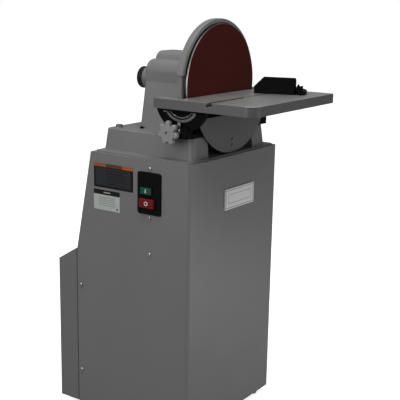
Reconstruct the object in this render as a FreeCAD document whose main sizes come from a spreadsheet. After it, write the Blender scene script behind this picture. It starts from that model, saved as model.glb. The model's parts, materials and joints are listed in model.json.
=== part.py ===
import FreeCAD
import Part
import Sketcher
import math
import os
import re
from FreeCAD import Rotation, Vector

# Twelve-inch disc sander on a closed sheet-metal stand, belt driven from inside.
# Frame: +Z up, origin on the floor under the middle of the whole machine, the
# sanding disc faces -Y, the tilting table is in front of it. Millimetres.

SIZES = {
    # stand
    "washer_thick": 1.2, "foot_height": 19, "foot_radius": 18, "foot_inset": 42,
    "panel_screw_radius": 2.5, "cover_screw_radius": 3, "foot_bolt_radius": 5, "foot_sink": 5,
    "foot_sink_radius": 9.4,
    "foot_head_radius": 8.8, "foot_head": 3.6, "foot_nut_radius": 9.2, "foot_nut": 7, "foot_front": 34,
    "foot_rear": 48,
    "stand_width": 418, "stand_height": 721, "stand_front": 134, "stand_back": 184,
    "stand_rear": 236.5, "knee_height": 449, "sheet": 2, "bend_radius": 11,
    "bottom_flange": 30, "tray_inset": 8, "tray_rise": 4,
    "tray_corner": 10, "screw_fit": 0.2,
    "belt_hole_x": 150, "belt_hole_y": 80,
    # rear motor cover
    "cover_depth": 68, "cover_drop": 42, "cover_seam": 2.5, "cover_lip": 34,
    "lip_fit": 0.4, "louvre_count": 6, "louvre_pitch": 16, "louvre_width": 150,
    "louvre_height": 6,
    # base casting
    "base_margin": 1, "recess_clear": 12.3, "base_bolt_side": 34, "base_bolt_rear": 26,
    "base_bolt_radius": 5, "bolt_post_radius": 14,
    "base_front": 117, "base_back": 173, "base_height": 55,
    "base_taper": 5.7, "base_corner": 12, "recess_back": 58,
    "casting_wall": 12,
    # column
    "disc_sunk": 31.4, "boss_wall": 11, "cap_screw_in": 9,
    "column_front": 56, "column_back": 101, "foot_half": 109,
    "waist_half": 88, "shoulder_rise": 57, "shoulder_radius": 32, "crown_half": 46,
    "crown_rise": 77, "crown_radius": 24, "column_edge": 7,
    # spindle and its bearings
    "spindle_radius": 15, "tail_radius": 10, "bearing_radius": 31, "bearing_width": 16,
    "running_gap": 0.05, "boss_length": 24, "cap_radius": 50,
    "cap_thick": 10, "snout_radius": 31, "snout_length": 47, "knob_radius": 29.5,
    "knob_length": 18, "knob_flutes": 18,
    # disc
    "disc_face": 83, "disc_radius": 152.4, "paper_thick": 1.2, "plate_thick": 9.5,
    "hub_radius": 30, "hub_length": 20,
    # disc housing, guard and lower cover
    "guard_clear": 3.6, "guard_wall": 9, "housing_fit": 0.6, "housing_margin": 5.6, "housing_flare": 5.5,
    "lid_overlap": 22.6, "lid_side": 4.4,
    "housing_gap": 2.7,
    "housing_top_rise": 29.5,
    "guard_front": 75, "guard_end_rise": 30,
    "guard_flange": 2.5, "flange_reach": 22, "lid_thick": 2.5, "lid_back": 117.5,
    "lid_drop": 75, "lid_gap": 0.3, "lid_post_half": 14, "lid_foot_long": 24, "lid_bracket_thick": 3,
    "lid_bracket_half": 38, "lid_bracket_rise": 44,
    # table
    "table_wing": 30,
    "table_front": 306.5, "table_back": 15, "table_thick": 24.4,
    "table_drop": 24.7, "table_gap": 3.5, "table_web": 9, "table_rim": 9,
    "pocket_half": 152, "table_corner": 28, "table_far_corner": 6, "edge_land": 2,
    "bevel_slope": 1.2,
    "slot_y": 180, "slot_neck": 12, "slot_neck_deep": 4.5, "slot_width": 18,
    "slot_deep": 10.5, "slot_rib": 44, "slot_rib_thick": 18,
    # trunnions, brackets and lock knobs
    "trunnion_clear": 5, "flange_inboard": 3, "flange_outboard": 24, "flange_bolt_in": 18.4,
    "cheek_wall": 4.5, "cheek_outer_wall": 8, "bracket_foot_reach": 33.5, "lock_reach": 18.7,
    "trunnion_radius": 80, "trunnion_thick": 12, "ring_inner": 50,
    "ring_outer": 56.5, "ring_proud": 1.5, "scale_inner": 41, "scale_outer": 47.5,
    "scale_proud": 0.8, "hollow_radius": 37, "flange_thick": 5, "flange_half": 52,
    "flange_bolt_y": 44,
    "cheek_gap": 0.4, "bracket_front": 110,
    "bracket_back": 47, "bracket_rise": 30,
    "bracket_foot_rise": 10, "bracket_foot_back": 72, "lock_y": 62, "lock_rise": 14,
    "stud_radius": 4, "lock_thick": 16, "lock_gap": 0.3, "lock_radius": 30,
    "lock_hub": 19, "lobe_radius": 7.5, "lobe_count": 7, "lobe_edge": 2.5, "lock_web": 9,
    "lock_blind": 5, "stud_proud": 0.5,
    # mitre gauge
    "gauge_x": 100, "gauge_angle": 18, "bar_left": 140, "bar_right": 92, "bar_fit": 0.25,
    "bar_sunk": 0.4, "fence_face": 30, "fence_thick": 9, "fence_near": 46,
    "fence_far": 76, "fence_height": 43, "fence_chamfer": 25, "head_radius": 87, "head_lug": 13,
    "head_boss": 13, "head_boss_rise": 6, "pivot_radius": 3, "arc_rim": 12,
    "arc_width": 8,
    "head_thick": 9, "head_lift": 0.5, "gauge_knob_radius": 15, "gauge_knob_rise": 24,
    # switch and plates on the left side, name plate at the front
    "switch_drop": 85.5, "start_drop": 79.5, "stop_drop": 110, "upper_label_drop": 59,
    "lower_label_drop": 124, "badge_drop": 113,
    "switch_width": 74, "switch_height": 109, "switch_y": 11.5,
    "switch_thick": 4, "switch_corner": 7, "box_depth": 46, "start_width": 34,
    "start_height": 17, "start_y": 3, "start_proud": 3.5,
    "stop_width": 46, "stop_height": 23, "stop_y": 8, "stop_proud": 8,
    "button_fit": 0.35, "box_side": 8.4, "box_end": 9, "box_wall_y": 1.5, "box_wall_z": 2,
    "switch_screw_z": 63, "plate_thick_thin": 0.6,
    "upper_label_y": 107.5, "upper_label_width": 131, "upper_label_height": 64,
    "lower_label_y": 130, "lower_label_width": 88, "lower_label_height": 54,
    "badge_x": 15, "badge_width": 140, "badge_height": 55,
    "badge_thick": 4, "gland_in": 60, "gland_z": 90, "gland_radius": 10, "gland_bore_radius": 5,
    "gland_nut_radius": 14,
    "gland_nut": 8, "gland_lock_nut": 5, "gland_half": 10,
    # drive inside the stand
    "brace_drop": 105, "cover_screw_drop": 102, "cover_screw_rise": 98, "cover_screw_in": 12,
    "pulley_y": 20, "pulley_width": 22, "pulley_clear": 5, "spindle_pitch": 45, "motor_pitch": 45,
    "belt_top": 12.6, "belt_bottom": 8, "belt_deep": 8, "belt_proud": 3.4, "belt_fit": 0.3,
    "motor_z": 260, "motor_radius": 80, "motor_front": 62, "motor_back": 286,
    "shaft_radius": 9.5, "bell_length": 28, "motor_base_half": 66, "motor_base_z": 168,
    "shelf_front": 60, "shelf_thick": 5, "shelf_flange": 40,
    "brace_y": 12, "brace_width": 30,
}

doc = FreeCAD.newDocument("disc_sander")
sheet = doc.addObject("Spreadsheet::Sheet", "Sheet")
for row, (alias, number) in enumerate(SIZES.items(), start=1):
    sheet.set("A%d" % row, alias)
    sheet.set("B%d" % row, str(number))
    sheet.setAlias("B%d" % row, alias)
doc.recompute()

# Sizes that follow from others, so that pieces which fit together change together.
DERIVED = {
    "axis_rise": "(disc_radius - disc_sunk)",
    "recess_width": "(2 * sqrt(disc_radius ^ 2 - axis_rise ^ 2) + 2 * recess_clear)",
    "guard_inner": "(disc_radius + guard_clear)",
    "guard_outer": "(guard_inner + guard_wall)",
    "housing_top_radius": "(guard_inner - housing_fit)",
    "housing_half": "(disc_radius + housing_margin)",
    "housing_foot_half": "(housing_half + housing_flare)",
    "lid_radius": "(disc_radius + lid_overlap)",
    "lid_half": "(disc_radius - lid_side)",
    "trunnion_inner": "(guard_outer + trunnion_clear)",
    "notch_half": "(guard_outer + trunnion_clear)",
    "table_width": "(2 * (notch_half + table_wing))",
    "flange_in": "(trunnion_inner - flange_inboard)",
    "flange_out": "(trunnion_inner + flange_outboard)",
    "flange_bolt_x": "(trunnion_inner + flange_bolt_in)",
    "cheek_in": "(trunnion_inner - cheek_wall)",
    "cheek_out": "(trunnion_inner + trunnion_thick + cheek_outer_wall)",
    "bracket_foot_in": "(cheek_in - bracket_foot_reach)",
    "lock_out": "(cheek_out + lock_gap + lock_reach)",
    "base_width": "(2 * (trunnion_inner + base_margin))",
    "boss_radius": "(bearing_radius + boss_wall)",
    "switch_z": "(foot_height + stand_height - switch_drop)",
    "start_z": "(foot_height + stand_height - start_drop)",
    "stop_z": "(foot_height + stand_height - stop_drop)",
    "upper_label_z": "(foot_height + stand_height - upper_label_drop)",
    "lower_label_z": "(foot_height + stand_height - lower_label_drop)",
    "badge_z": "(foot_height + stand_height - badge_drop)",
    "brace_z": "(switch_z - switch_height / 2 - brace_drop)",
}

# Heights and depths that several pieces share.
STAND_BOTTOM = "foot_height"
STAND_TOP = "(foot_height + stand_height)"
TRAY_TOP = "(foot_height + stand_height + tray_rise)"
BASE_TOP = "(foot_height + stand_height + tray_rise + base_height)"
AXIS = "(foot_height + stand_height + tray_rise + base_height + axis_rise)"
KNEE = "(foot_height + knee_height)"
STAND_HALF = "(stand_width / 2)"
PLATE_BACK = "(-disc_face + paper_thick + plate_thick)"
HOUSING_FRONT = "(-disc_face + paper_thick + plate_thick + housing_gap)"
TABLE_TOP = "(%s - table_drop)" % AXIS
TABLE_BOTTOM = "(%s - table_drop - table_thick)" % AXIS
TILT_Y = "(-disc_face - table_gap)"
SLOT_Y = "(-slot_y)"
CAP_FACE = "(column_back + cap_thick)"
SNOUT_END = "(column_back + cap_thick + snout_length)"
REAR_BEARING = "(column_back - casting_wall - bearing_width + 4)"
FRONT_BEARING = "(-column_front + casting_wall)"

AXES = {
    "+Z": Rotation(),
    "+X": Rotation(Vector(0, 1, 0), 90),
    "-X": Rotation(Vector(0, 1, 0), -90),
    "+Y": Rotation(Vector(1, 0, 0), -90),
    "-Y": Rotation(Vector(1, 0, 0), 90),
    "-Z": Rotation(Vector(1, 0, 0), 180),
}
NODES = []


def on_sheet(text):
    """Write an expression so that every known size is read from the sheet."""
    def read(word):
        name = word.group()
        if name in DERIVED:
            return on_sheet(DERIVED[name])
        return "Sheet." + name if name in SIZES else name
    return re.sub(r"[a-z_][a-z_0-9]*", read, str(text))


def value(text):
    """The present value of an expression."""
    result = sheet.evalExpression(on_sheet(text))
    return float(getattr(result, "Value", result))


def bind(piece, **expressions):
    for prop, text in expressions.items():
        piece.setExpression(prop, on_sheet(text))


def place(piece, at, axis="+Z"):
    piece.Placement.Rotation = AXES[axis]
    for letter, text in zip("xyz", at):
        piece.setExpression("Placement.Base." + letter, on_sheet(text))


def box(name, low, size):
    piece = doc.addObject("Part::Box", name)
    bind(piece, Length=size[0], Width=size[1], Height=size[2])
    place(piece, low)
    return piece


def span(name, x, y, z):
    """A box from pairs of limits."""
    low = (x[0], y[0], z[0])
    return box(name, low, ["(%s) - (%s)" % (pair[1], pair[0]) for pair in (x, y, z)])


def rod(name, at, axis, radius, length):
    piece = doc.addObject("Part::Cylinder", name)
    bind(piece, Radius=radius, Height=length)
    place(piece, at, axis)
    return piece


def prism(name, at, axis, radius, length, sides=6):
    piece = doc.addObject("Part::Prism", name)
    piece.Polygon = sides
    bind(piece, Circumradius=radius, Height=length)
    place(piece, at, axis)
    return piece


def fuse(name, *pieces):
    joined = doc.addObject("Part::MultiFuse", name)
    joined.Shapes = list(pieces)
    joined.Refine = True
    return joined


def cut(name, base, *tools):
    result = doc.addObject("Part::Cut", name)
    result.Base = base
    result.Tool = tools[0] if len(tools) == 1 else group(name + "_tools", *tools)
    return result


def common(name, *pieces):
    result = doc.addObject("Part::MultiCommon", name)
    result.Shapes = list(pieces)
    return result


def group(name, *pieces):
    """Separate solids that share one node, or a set of cutting tools."""
    result = doc.addObject("Part::Compound", name)
    result.Links = list(pieces)
    return result


def node(piece, label):
    piece.Label = label
    NODES.append(piece)
    return piece


def rounded(name, base, radius, wanted):
    """Fillet the edges that wanted() picks."""
    doc.recompute()
    result = doc.addObject("Part::Fillet", name)
    result.Base = base
    size = value(radius)
    result.Edges = [(index, size, size) for index, edge in enumerate(base.Shape.Edges, start=1)
                    if wanted(edge)]
    return result


def along(axis):
    """Straight edges that run along one axis."""
    unit = {"x": Vector(1, 0, 0), "y": Vector(0, 1, 0), "z": Vector(0, 0, 1)}[axis]

    def test(edge):
        if edge.Curve.TypeId != "Part::GeomLine":
            return False
        return abs(abs(edge.tangentAt(edge.FirstParameter).dot(unit)) - 1) < 1e-6
    return test


def sketch_on(body, plane, points, offset="0"):
    """A closed outline of straight sides whose corners are bound to the sheet."""
    sketch = body.newObject("Sketcher::SketchObject", body.Name + "_outline")
    origin = [f for f in body.Origin.OriginFeatures if f.Role == plane][0]
    sketch.AttachmentSupport = [(origin, "")]
    sketch.MapMode = "FlatFace"
    sketch.setExpression("AttachmentOffset.Base.z", on_sheet(offset))
    corners = [Vector(value(u), value(v), 0) for u, v in points]
    for start, end in zip(corners, corners[1:] + corners[:1]):
        sketch.addGeometry(Part.LineSegment(start, end), False)
    count = len(corners)
    for side in range(count):
        sketch.addConstraint(Sketcher.Constraint("Coincident", side, 2, (side + 1) % count, 1))
    for side, (u, v) in enumerate(points):
        for kind, text, number in (("DistanceX", u, corners[side].x),
                                   ("DistanceY", v, corners[side].y)):
            held = sketch.addConstraint(Sketcher.Constraint(kind, -1, 1, side, 1, number))
            sketch.setExpression("Constraints[%d]" % held, on_sheet(text))
    return sketch


def slab(name, plane, points, depth, offset="0", midplane=False, taper=None):
    """A body padded from one outline. Planes face +Z, -Y and +X."""
    body = doc.addObject("PartDesign::Body", name)
    sketch = sketch_on(body, plane, points, offset)
    pad = body.newObject("PartDesign::Pad", name + "_pad")
    pad.Profile = sketch
    pad.Midplane = midplane
    bind(pad, Length=depth)
    if taper:
        bind(pad, TaperAngle=taper)
    doc.recompute()
    return body


def ring_x(name, x, length, inner, outer):
    """Lower half of a ring about the table's tilt axis, along X."""
    whole = rod(name + "_o", (x, TILT_Y, TABLE_TOP), "+X", outer, length)
    bore = rod(name + "_i", ("%s - 1" % x, TILT_Y, TABLE_TOP), "+X", inner, "%s + 2" % length)
    ring = cut(name + "_r", whole, bore)
    below = span(name + "_b", (x, "%s + %s" % (x, length)), ("%s - 100" % TILT_Y, "%s + 100" % TILT_Y),
                 ("%s - 100" % TABLE_TOP, "%s - flange_thick - 1.5" % TABLE_BOTTOM))
    return common(name, ring, below)


def round_edge(edge):
    return edge.Curve.TypeId == "Part::GeomCircle"


def cross_screw(name, radius, length):
    """A domed screw with a cross recess, seated at its own origin with its shank downwards."""
    head = rod(name + "_head", ("0", "0", "0"), "+Z", "2 * %s" % radius, "1.3 * %s" % radius)
    dome = rounded(name + "_dome", head, "0.8 * %s" % radius,
                   lambda e: round_edge(e) and e.BoundBox.ZMin > 1)
    shank = rod(name + "_shank", ("0", "0", "0"), "-Z", radius, length)
    half_long, half_wide = "0.95 * %s" % radius, "0.2 * %s" % radius
    depth = ("0.6 * %s" % radius, "2 * %s" % radius)
    arms = [span(name + "_arm_x", ("-" + half_long, half_long), ("-" + half_wide, half_wide), depth),
            span(name + "_arm_y", ("-" + half_wide, half_wide), ("-" + half_long, half_long), depth)]
    return cut(name, fuse(name + "_solid", dome, shank), *arms)


def hex_bolt(name, radius, length):
    """A chamfered hexagon bolt on its washer, seated at its own origin with its shank downwards."""
    washer = rod(name + "_washer", ("0", "0", "0"), "+Z", "2.1 * %s" % radius, "washer_thick")
    rise = "(1.3 * %s + washer_thick)" % radius
    hexagon = prism(name + "_hex", ("0", "0", "0"), "+Z", "1.8 * %s" % radius, rise)
    shape = doc.addObject("Part::Cone", name + "_chamfer")
    bind(shape, Radius1="1.6 * %s + 1.7 * %s" % (radius, rise), Radius2="1.6 * %s" % radius, Height=rise)
    shank = rod(name + "_shank", ("0", "0", "0"), "-Z", radius, length)
    return fuse(name, washer, common(name + "_head", hexagon, shape), shank)


def repeated(name, original, spots, axis):
    """One fastener at several places, with one axis for all or one for each."""
    pieces = []
    for number, at in enumerate(spots):
        piece = group("%s_%d" % (name, number), original)
        place(piece, at, axis[number] if isinstance(axis, list) else axis)
        pieces.append(piece)
    return pieces


def copies(label, original, spots, axis):
    """A node of one fastener repeated at several places."""
    return node(group(label, *repeated(label, original, spots, axis)), label)


def hole(name, at, axis, radius, length):
    return rod(name, at, axis, "%s + screw_fit" % radius, length)


# ---------------------------------------------------------------- stand
stand_outline = [("-stand_front", STAND_BOTTOM), ("-stand_front", STAND_TOP),
                 ("stand_back", STAND_TOP), ("stand_rear", KNEE), ("stand_rear", STAND_BOTTOM)]
stand_outer = slab("stand_outer", "YZ_Plane", stand_outline, "stand_width", midplane=True)
stand_skin = rounded("stand_skin", stand_outer, "bend_radius",
                     lambda e: along("z")(e) and e.BoundBox.YMax < -value("stand_front") + 1)
void_outline = [("-stand_front + sheet", "%s + sheet" % STAND_BOTTOM),
                ("-stand_front + sheet", "%s - sheet" % STAND_TOP),
                ("stand_back - sheet", "%s - sheet" % STAND_TOP),
                ("stand_rear - sheet", KNEE), ("stand_rear + 5", KNEE),
                ("stand_rear + 5", "%s + sheet" % STAND_BOTTOM)]
stand_void = slab("stand_void", "YZ_Plane", void_outline, "stand_width - 2 * sheet", midplane=True)
stand_inside = rounded("stand_inside", stand_void, "bend_radius - sheet",
                       lambda e: along("z")(e) and e.BoundBox.YMax < -value("stand_front") + 3)
bottom_hole = span("bottom_hole", ("-%s + bottom_flange" % STAND_HALF, "%s - bottom_flange" % STAND_HALF),
                   ("-stand_front + bottom_flange", "stand_rear - bottom_flange"),
                   ("%s - 2" % STAND_BOTTOM, "%s + sheet + 2" % STAND_BOTTOM))
belt_hole = span("belt_hole", ("-belt_hole_x / 2", "belt_hole_x / 2"),
                 ("pulley_y - belt_hole_y / 2", "pulley_y + belt_hole_y / 2"),
                 ("%s - 10" % STAND_TOP, "%s + casting_wall" % BASE_TOP))
switch_hole = span("switch_hole", ("-%s - 1" % STAND_HALF, "-%s + sheet + 1" % STAND_HALF),
                   ("-switch_y - switch_width / 2 + 8", "-switch_y + switch_width / 2 - 8"),
                   ("switch_z - switch_height / 2 + 8", "switch_z + switch_height / 2 - 8"))

SIDE_SCREWS = [("-switch_y", "switch_z + switch_screw_z"), ("-switch_y", "switch_z - switch_screw_z")]
COVER_SCREWS = [("stand_rear - cover_screw_in", "%s - cover_screw_drop" % KNEE),
                ("stand_rear - cover_screw_in", "%s + cover_screw_rise" % STAND_BOTTOM)]
BRACE_SCREW = ("-brace_y", "brace_z")


def side_holes(name, places, sides=(-1,), radius="panel_screw_radius"):
    return [hole("%s_%d%d" % (name, index, side + 1), ("%d * %s - 9" % (side, STAND_HALF), y, z), "+X",
                 radius, "18")
            for index, (y, z) in enumerate(places) for side in sides]


def side_spots(places, sides=(-1,)):
    return [("%d * %s" % (side, STAND_HALF), y, z) for y, z in places for side in sides]


PANEL_SCREW = cross_screw("panel_screw", "panel_screw_radius", "8")

FEET = [("%d * (%s - foot_inset)" % (side, STAND_HALF), y) for side in (-1, 1)
        for y in ("-stand_front + foot_front", "stand_rear - foot_rear")]
foot_holes = [hole("foot_hole_%d" % i, (x, y, "%s - 2" % STAND_BOTTOM), "+Z", "foot_bolt_radius",
                   "sheet + 6")
              for i, (x, y) in enumerate(FEET)]
BASE_BOLTS = [("%d * (base_width / 2 - base_bolt_side)" % side,
               "base_back - base_bolt_rear") for side in (-1, 1)]
base_bolt_holes = [hole("base_hole_%d" % i, (x, y, "%s - 12" % STAND_TOP), "+Z", "base_bolt_radius",
                        "base_height + 20")
                   for i, (x, y) in enumerate(BASE_BOLTS)]
LID_BOLTS = [("%d * (lid_bracket_half - 10)" % side, "-lid_back + 12") for side in (-1, 1)]
lid_bolt_holes = [hole("lid_hole_%d" % i, (x, y, "%s - 12" % STAND_TOP), "+Z", "4", "24")
                  for i, (x, y) in enumerate(LID_BOLTS)]
GLAND = ("stand_rear - gland_in", "gland_z")
gland_hole = rod("gland_hole", ("%s - 5" % STAND_HALF, *GLAND), "+X", "gland_radius + screw_fit", "10")
tapped = side_holes("switch_hole_s", SIDE_SCREWS) + side_holes("cover_hole", COVER_SCREWS, (-1, 1),
        "cover_screw_radius") \
    + side_holes("brace_hole", [BRACE_SCREW], (-1, 1))
stand_shell = cut("stand_shell", stand_skin, stand_inside)
wall_zone = span("wall_zone", ("-stand_width", "stand_width"), ("-2 * stand_front", "2 * stand_rear"),
                 ("%s + sheet" % STAND_BOTTOM, "%s - sheet" % STAND_TOP))
rear_zone = slab("rear_zone", "YZ_Plane",
                 [("stand_back - sheet", "%s - sheet" % STAND_TOP), ("stand_rear - sheet", KNEE),
                  ("stand_rear + sheet", KNEE), ("stand_back + sheet", "%s - sheet" % STAND_TOP)],
                 "stand_width - 2 * sheet", midplane=True)
walls = common("walls", stand_shell, wall_zone)
node(cut("stand_body", walls, rear_zone, switch_hole, gland_hole, *tapped), "stand_body")
node(common("stand_rear_panel", walls, rear_zone), "stand_rear_panel")
deck_zone = span("deck_zone", ("-stand_width", "stand_width"), ("-2 * stand_front", "2 * stand_rear"),
                 ("%s - sheet" % STAND_TOP, "%s + sheet" % STAND_TOP))
node(cut("stand_deck", common("deck", stand_shell, deck_zone), belt_hole,
         *(base_bolt_holes + lid_bolt_holes)), "stand_deck")
floor_zone = span("floor_zone", ("-stand_width", "stand_width"), ("-2 * stand_front", "2 * stand_rear"),
                  ("%s - sheet" % STAND_BOTTOM, "%s + sheet" % STAND_BOTTOM))
node(cut("stand_floor_frame", common("floor_flange", stand_shell, floor_zone), bottom_hole, *foot_holes),
     "stand_floor_frame")

tray = span("tray", ("-%s + tray_inset" % STAND_HALF, "%s - tray_inset" % STAND_HALF),
            ("-stand_front + tray_inset", "stand_back - tray_inset"), (STAND_TOP, TRAY_TOP))
tray_soft = rounded("tray_soft", tray, "tray_corner", along("z"))
tray_eased = rounded("tray_eased", tray_soft, "1", lambda e: e.BoundBox.ZMin > value(TRAY_TOP) - 0.1)
node(cut("stand_top_plate", tray_eased, belt_hole, *(base_bolt_holes + lid_bolt_holes)),
     "stand_top_plate")

# Rubber feet, each on its own bolt through the stand's bottom flange.
pads = []
for i, (x, y) in enumerate(FEET):
    pad_body = doc.addObject("Part::Cone", "pad_cone_%d" % i)
    bind(pad_body, Radius1="foot_radius", Radius2="foot_radius * 0.85", Height="foot_height")
    place(pad_body, (x, y, "0"))
    pads.append(cut("pad_%d" % i, pad_body,
                    rod("pad_bore_%d" % i, (x, y, "foot_sink"), "+Z", "foot_bolt_radius + running_gap",
                        "foot_height"),
                    rod("pad_sink_%d" % i, (x, y, "-1"), "+Z", "foot_sink_radius", "foot_sink + 1.1")))
node(group("feet", *pads), "feet")
node(group("foot_bolts", *[fuse("foot_bolt_%d" % i,
                                rod("foot_shank_%d" % i, (x, y, "foot_sink + 0.1"), "+Z",
                                    "foot_bolt_radius",
                                    "foot_height + sheet + 4"),
                                prism("foot_head_%d" % i, (x, y, "foot_sink - foot_head + 0.1"), "+Z",
                                      "foot_head_radius",
                                      "foot_head"),
                                prism("foot_nut_%d" % i, (x, y, "%s + sheet" % STAND_BOTTOM), "+Z",
                                      "foot_nut_radius", "foot_nut"))
                           for i, (x, y) in enumerate(FEET)]), "foot_bolts")

# ---------------------------------------------------------------- rear motor cover
cover_bottom = "%s + 2" % STAND_BOTTOM
cover_low = "(%s - cover_drop)" % KNEE
cover_front = "(stand_rear + cover_seam)"
cover_back = "(stand_rear + cover_seam + cover_depth)"
cover_outline = [(cover_front, cover_bottom), (cover_front, KNEE), (cover_back, cover_low),
                 (cover_back, cover_bottom)]
cover_outer = slab("cover_outer", "YZ_Plane", cover_outline, "stand_width", midplane=True)
cover_skin = rounded("cover_skin", cover_outer, "5",
                     lambda e: e.BoundBox.YMin > value(cover_back) - 1 and along("z")(e))
LIP_HALF = "(%s - sheet - lip_fit)" % STAND_HALF
lip = span("lip", ("-" + LIP_HALF, LIP_HALF), ("stand_rear - cover_lip", "%s + 3" % cover_front),
           ("%s + sheet + 0.5" % STAND_BOTTOM, "%s - 6" % KNEE))
cover_void = slab("cover_void", "YZ_Plane",
                  [("stand_rear - cover_lip - 2", "%s + sheet" % cover_bottom),
                   ("stand_rear - cover_lip - 2", "%s - 7.5" % KNEE),
                   ("%s + sheet" % cover_front, "%s - 7.5" % KNEE),
                   ("%s - sheet" % cover_back, "%s - sheet - 5" % cover_low),
                   ("%s - sheet" % cover_back, "%s + sheet" % cover_bottom)],
                  "stand_width - 4 * sheet", midplane=True)
louvres = [span("louvre_%d" % i, ("-louvre_width / 2", "louvre_width / 2"),
                ("%s - 6" % cover_back, "%s + 2" % cover_back),
                ("%s - 60 - %d * louvre_pitch" % (cover_low, i),
                 "%s - 60 - %d * louvre_pitch + louvre_height" % (cover_low, i)))
           for i in range(int(value("louvre_count")))]
node(cut("motor_cover", fuse("cover_and_lip", cover_skin, lip), cover_void,
         *(louvres + side_holes("lip_hole", COVER_SCREWS, (-1, 1), "cover_screw_radius"))), "motor_cover")
COVER_SCREW = cross_screw("cover_screw", "cover_screw_radius", "8")
node(group("side_screws",
           *repeated("cover_screw_at", COVER_SCREW, side_spots(COVER_SCREWS, (-1, 1)), ["-X", "+X"] * 2),
           *repeated("brace_screw_at", PANEL_SCREW, side_spots([BRACE_SCREW], (-1, 1)), ["-X", "+X"]),
           *repeated("switch_screw_at", PANEL_SCREW, side_spots(SIDE_SCREWS), "-X")),
     "side_screws")

brace = cut("brace_cut",
            span("brace_box", ("-" + LIP_HALF, LIP_HALF),
                 ("-brace_y - brace_width / 2", "-brace_y + brace_width / 2"),
                 ("brace_z - 15", "brace_z + 15")),
            span("brace_in", ("-%s + 3" % LIP_HALF, "%s - 3" % LIP_HALF),
                 ("-brace_y - brace_width / 2 - 1", "-brace_y + brace_width / 2 - 3"),
                 ("brace_z - 16", "brace_z + 16")),
            span("brace_gap", ("-80", "80"), ("-brace_y", "-brace_y + brace_width"),
                 ("brace_z - 5", "brace_z + 5")),
            *side_holes("brace_tap", [BRACE_SCREW], (-1, 1)))
node(brace, "cross_brace")

# ---------------------------------------------------------------- base casting
base_outline = [("-base_width / 2", "-base_front"), ("base_width / 2", "-base_front"),
                ("base_width / 2", "base_back"), ("-base_width / 2", "base_back")]
base_block = slab("base_block", "XY_Plane", base_outline, "base_height", TRAY_TOP,
                  taper="-atan(base_taper / base_height)")
base_soft = rounded("base_soft", base_block, "base_corner",
                    lambda e: abs(e.BoundBox.ZLength - value("base_height")) < 0.5)
base_smooth = rounded("base_smooth", base_soft, "3",
                      lambda e: e.BoundBox.ZMin > value(BASE_TOP) - 0.1)
recess = span("recess", ("-recess_width / 2", "recess_width / 2"), ("-base_front - 5", "-recess_back"),
              ("%s - 1" % TRAY_TOP, "%s + 5" % BASE_TOP))
base_void = span("base_void", ("-base_width / 2 + casting_wall + 4", "base_width / 2 - casting_wall - 4"),
                 ("-recess_back + casting_wall", "base_back - casting_wall - 4"),
                 ("%s - 1" % TRAY_TOP, "%s - casting_wall" % BASE_TOP))
bolt_posts = [common("bolt_post_%d" % i, base_smooth,
                     rod("bolt_post_rod_%d" % i, (x, y, TRAY_TOP), "+Z", "bolt_post_radius",
                         "base_height - 5"))
              for i, (x, y) in enumerate(BASE_BOLTS)]
BRACKET_BOLTS = [("bracket_foot_in + 10", "-bracket_front + 9"),
                 ("bracket_foot_in + 10", "-bracket_foot_back - 9")]
bracket_taps = [rod("bracket_tap_%d%d" % (i, side + 1),
                    ("%d * (%s)" % (side, x), y, "%s - 14" % BASE_TOP), "+Z",
                    "4.2", "16") for i, (x, y) in enumerate(BRACKET_BOLTS) for side in (-1, 1)]
base_shell = cut("base_shell", base_smooth, recess, base_void, belt_hole)
node(cut("base_casting", fuse("base_posts", base_shell, *bolt_posts),
         *(base_bolt_holes + bracket_taps)), "base_casting")
copies("base_bolts", hex_bolt("base_bolt", "base_bolt_radius", "base_height + tray_rise + sheet + 4"),
       [(x, y, BASE_TOP) for x, y in BASE_BOLTS], "+Z")

# ---------------------------------------------------------------- column
column_depth = "column_front + column_back"
waist = slab("waist", "XZ_Plane",
             [("-foot_half", BASE_TOP), ("foot_half", BASE_TOP), ("waist_half", AXIS),
              ("waist_half", "%s + shoulder_rise" % AXIS), ("-waist_half", "%s + shoulder_rise" % AXIS),
              ("-waist_half", AXIS)], column_depth, "-column_back")
waist_soft = rounded("waist_soft", waist, "shoulder_radius",
                     lambda e: along("y")(e) and e.BoundBox.ZMin > value(AXIS) + 10)
crown = span("crown", ("-crown_half", "crown_half"), ("-column_front", "column_back"),
             (AXIS, "%s + crown_rise" % AXIS))
crown_soft = rounded("crown_soft", crown, "crown_radius",
                     lambda e: along("y")(e) and e.BoundBox.ZMin > value(AXIS) + 10)
column_whole = fuse("column_whole", waist_soft, crown_soft)
column_smooth = rounded("column_smooth", column_whole, "column_edge",
                        lambda e: e.BoundBox.YMin > value("column_back") - 0.1
                        and e.BoundBox.ZMin > value(BASE_TOP) - 0.1 and e.BoundBox.ZMax > value(BASE_TOP) + 5)
column_void = span("column_void", ("-waist_half + casting_wall", "waist_half - casting_wall"),
                   ("-column_front + casting_wall", "column_back - casting_wall"),
                   ("%s - 1" % BASE_TOP, "%s + shoulder_rise - casting_wall - 4" % AXIS))
front_boss = rod("front_boss", ("0", "-column_front + 2", AXIS), "+Y", "boss_radius",
                 "casting_wall + boss_length")
rear_boss = rod("rear_boss", ("0", "column_back - 2", AXIS), "-Y", "boss_radius",
                "casting_wall + boss_length")
shell = cut("column_shell", column_smooth, column_void)
bossed = fuse("column_bossed", shell, front_boss, rear_boss)
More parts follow.
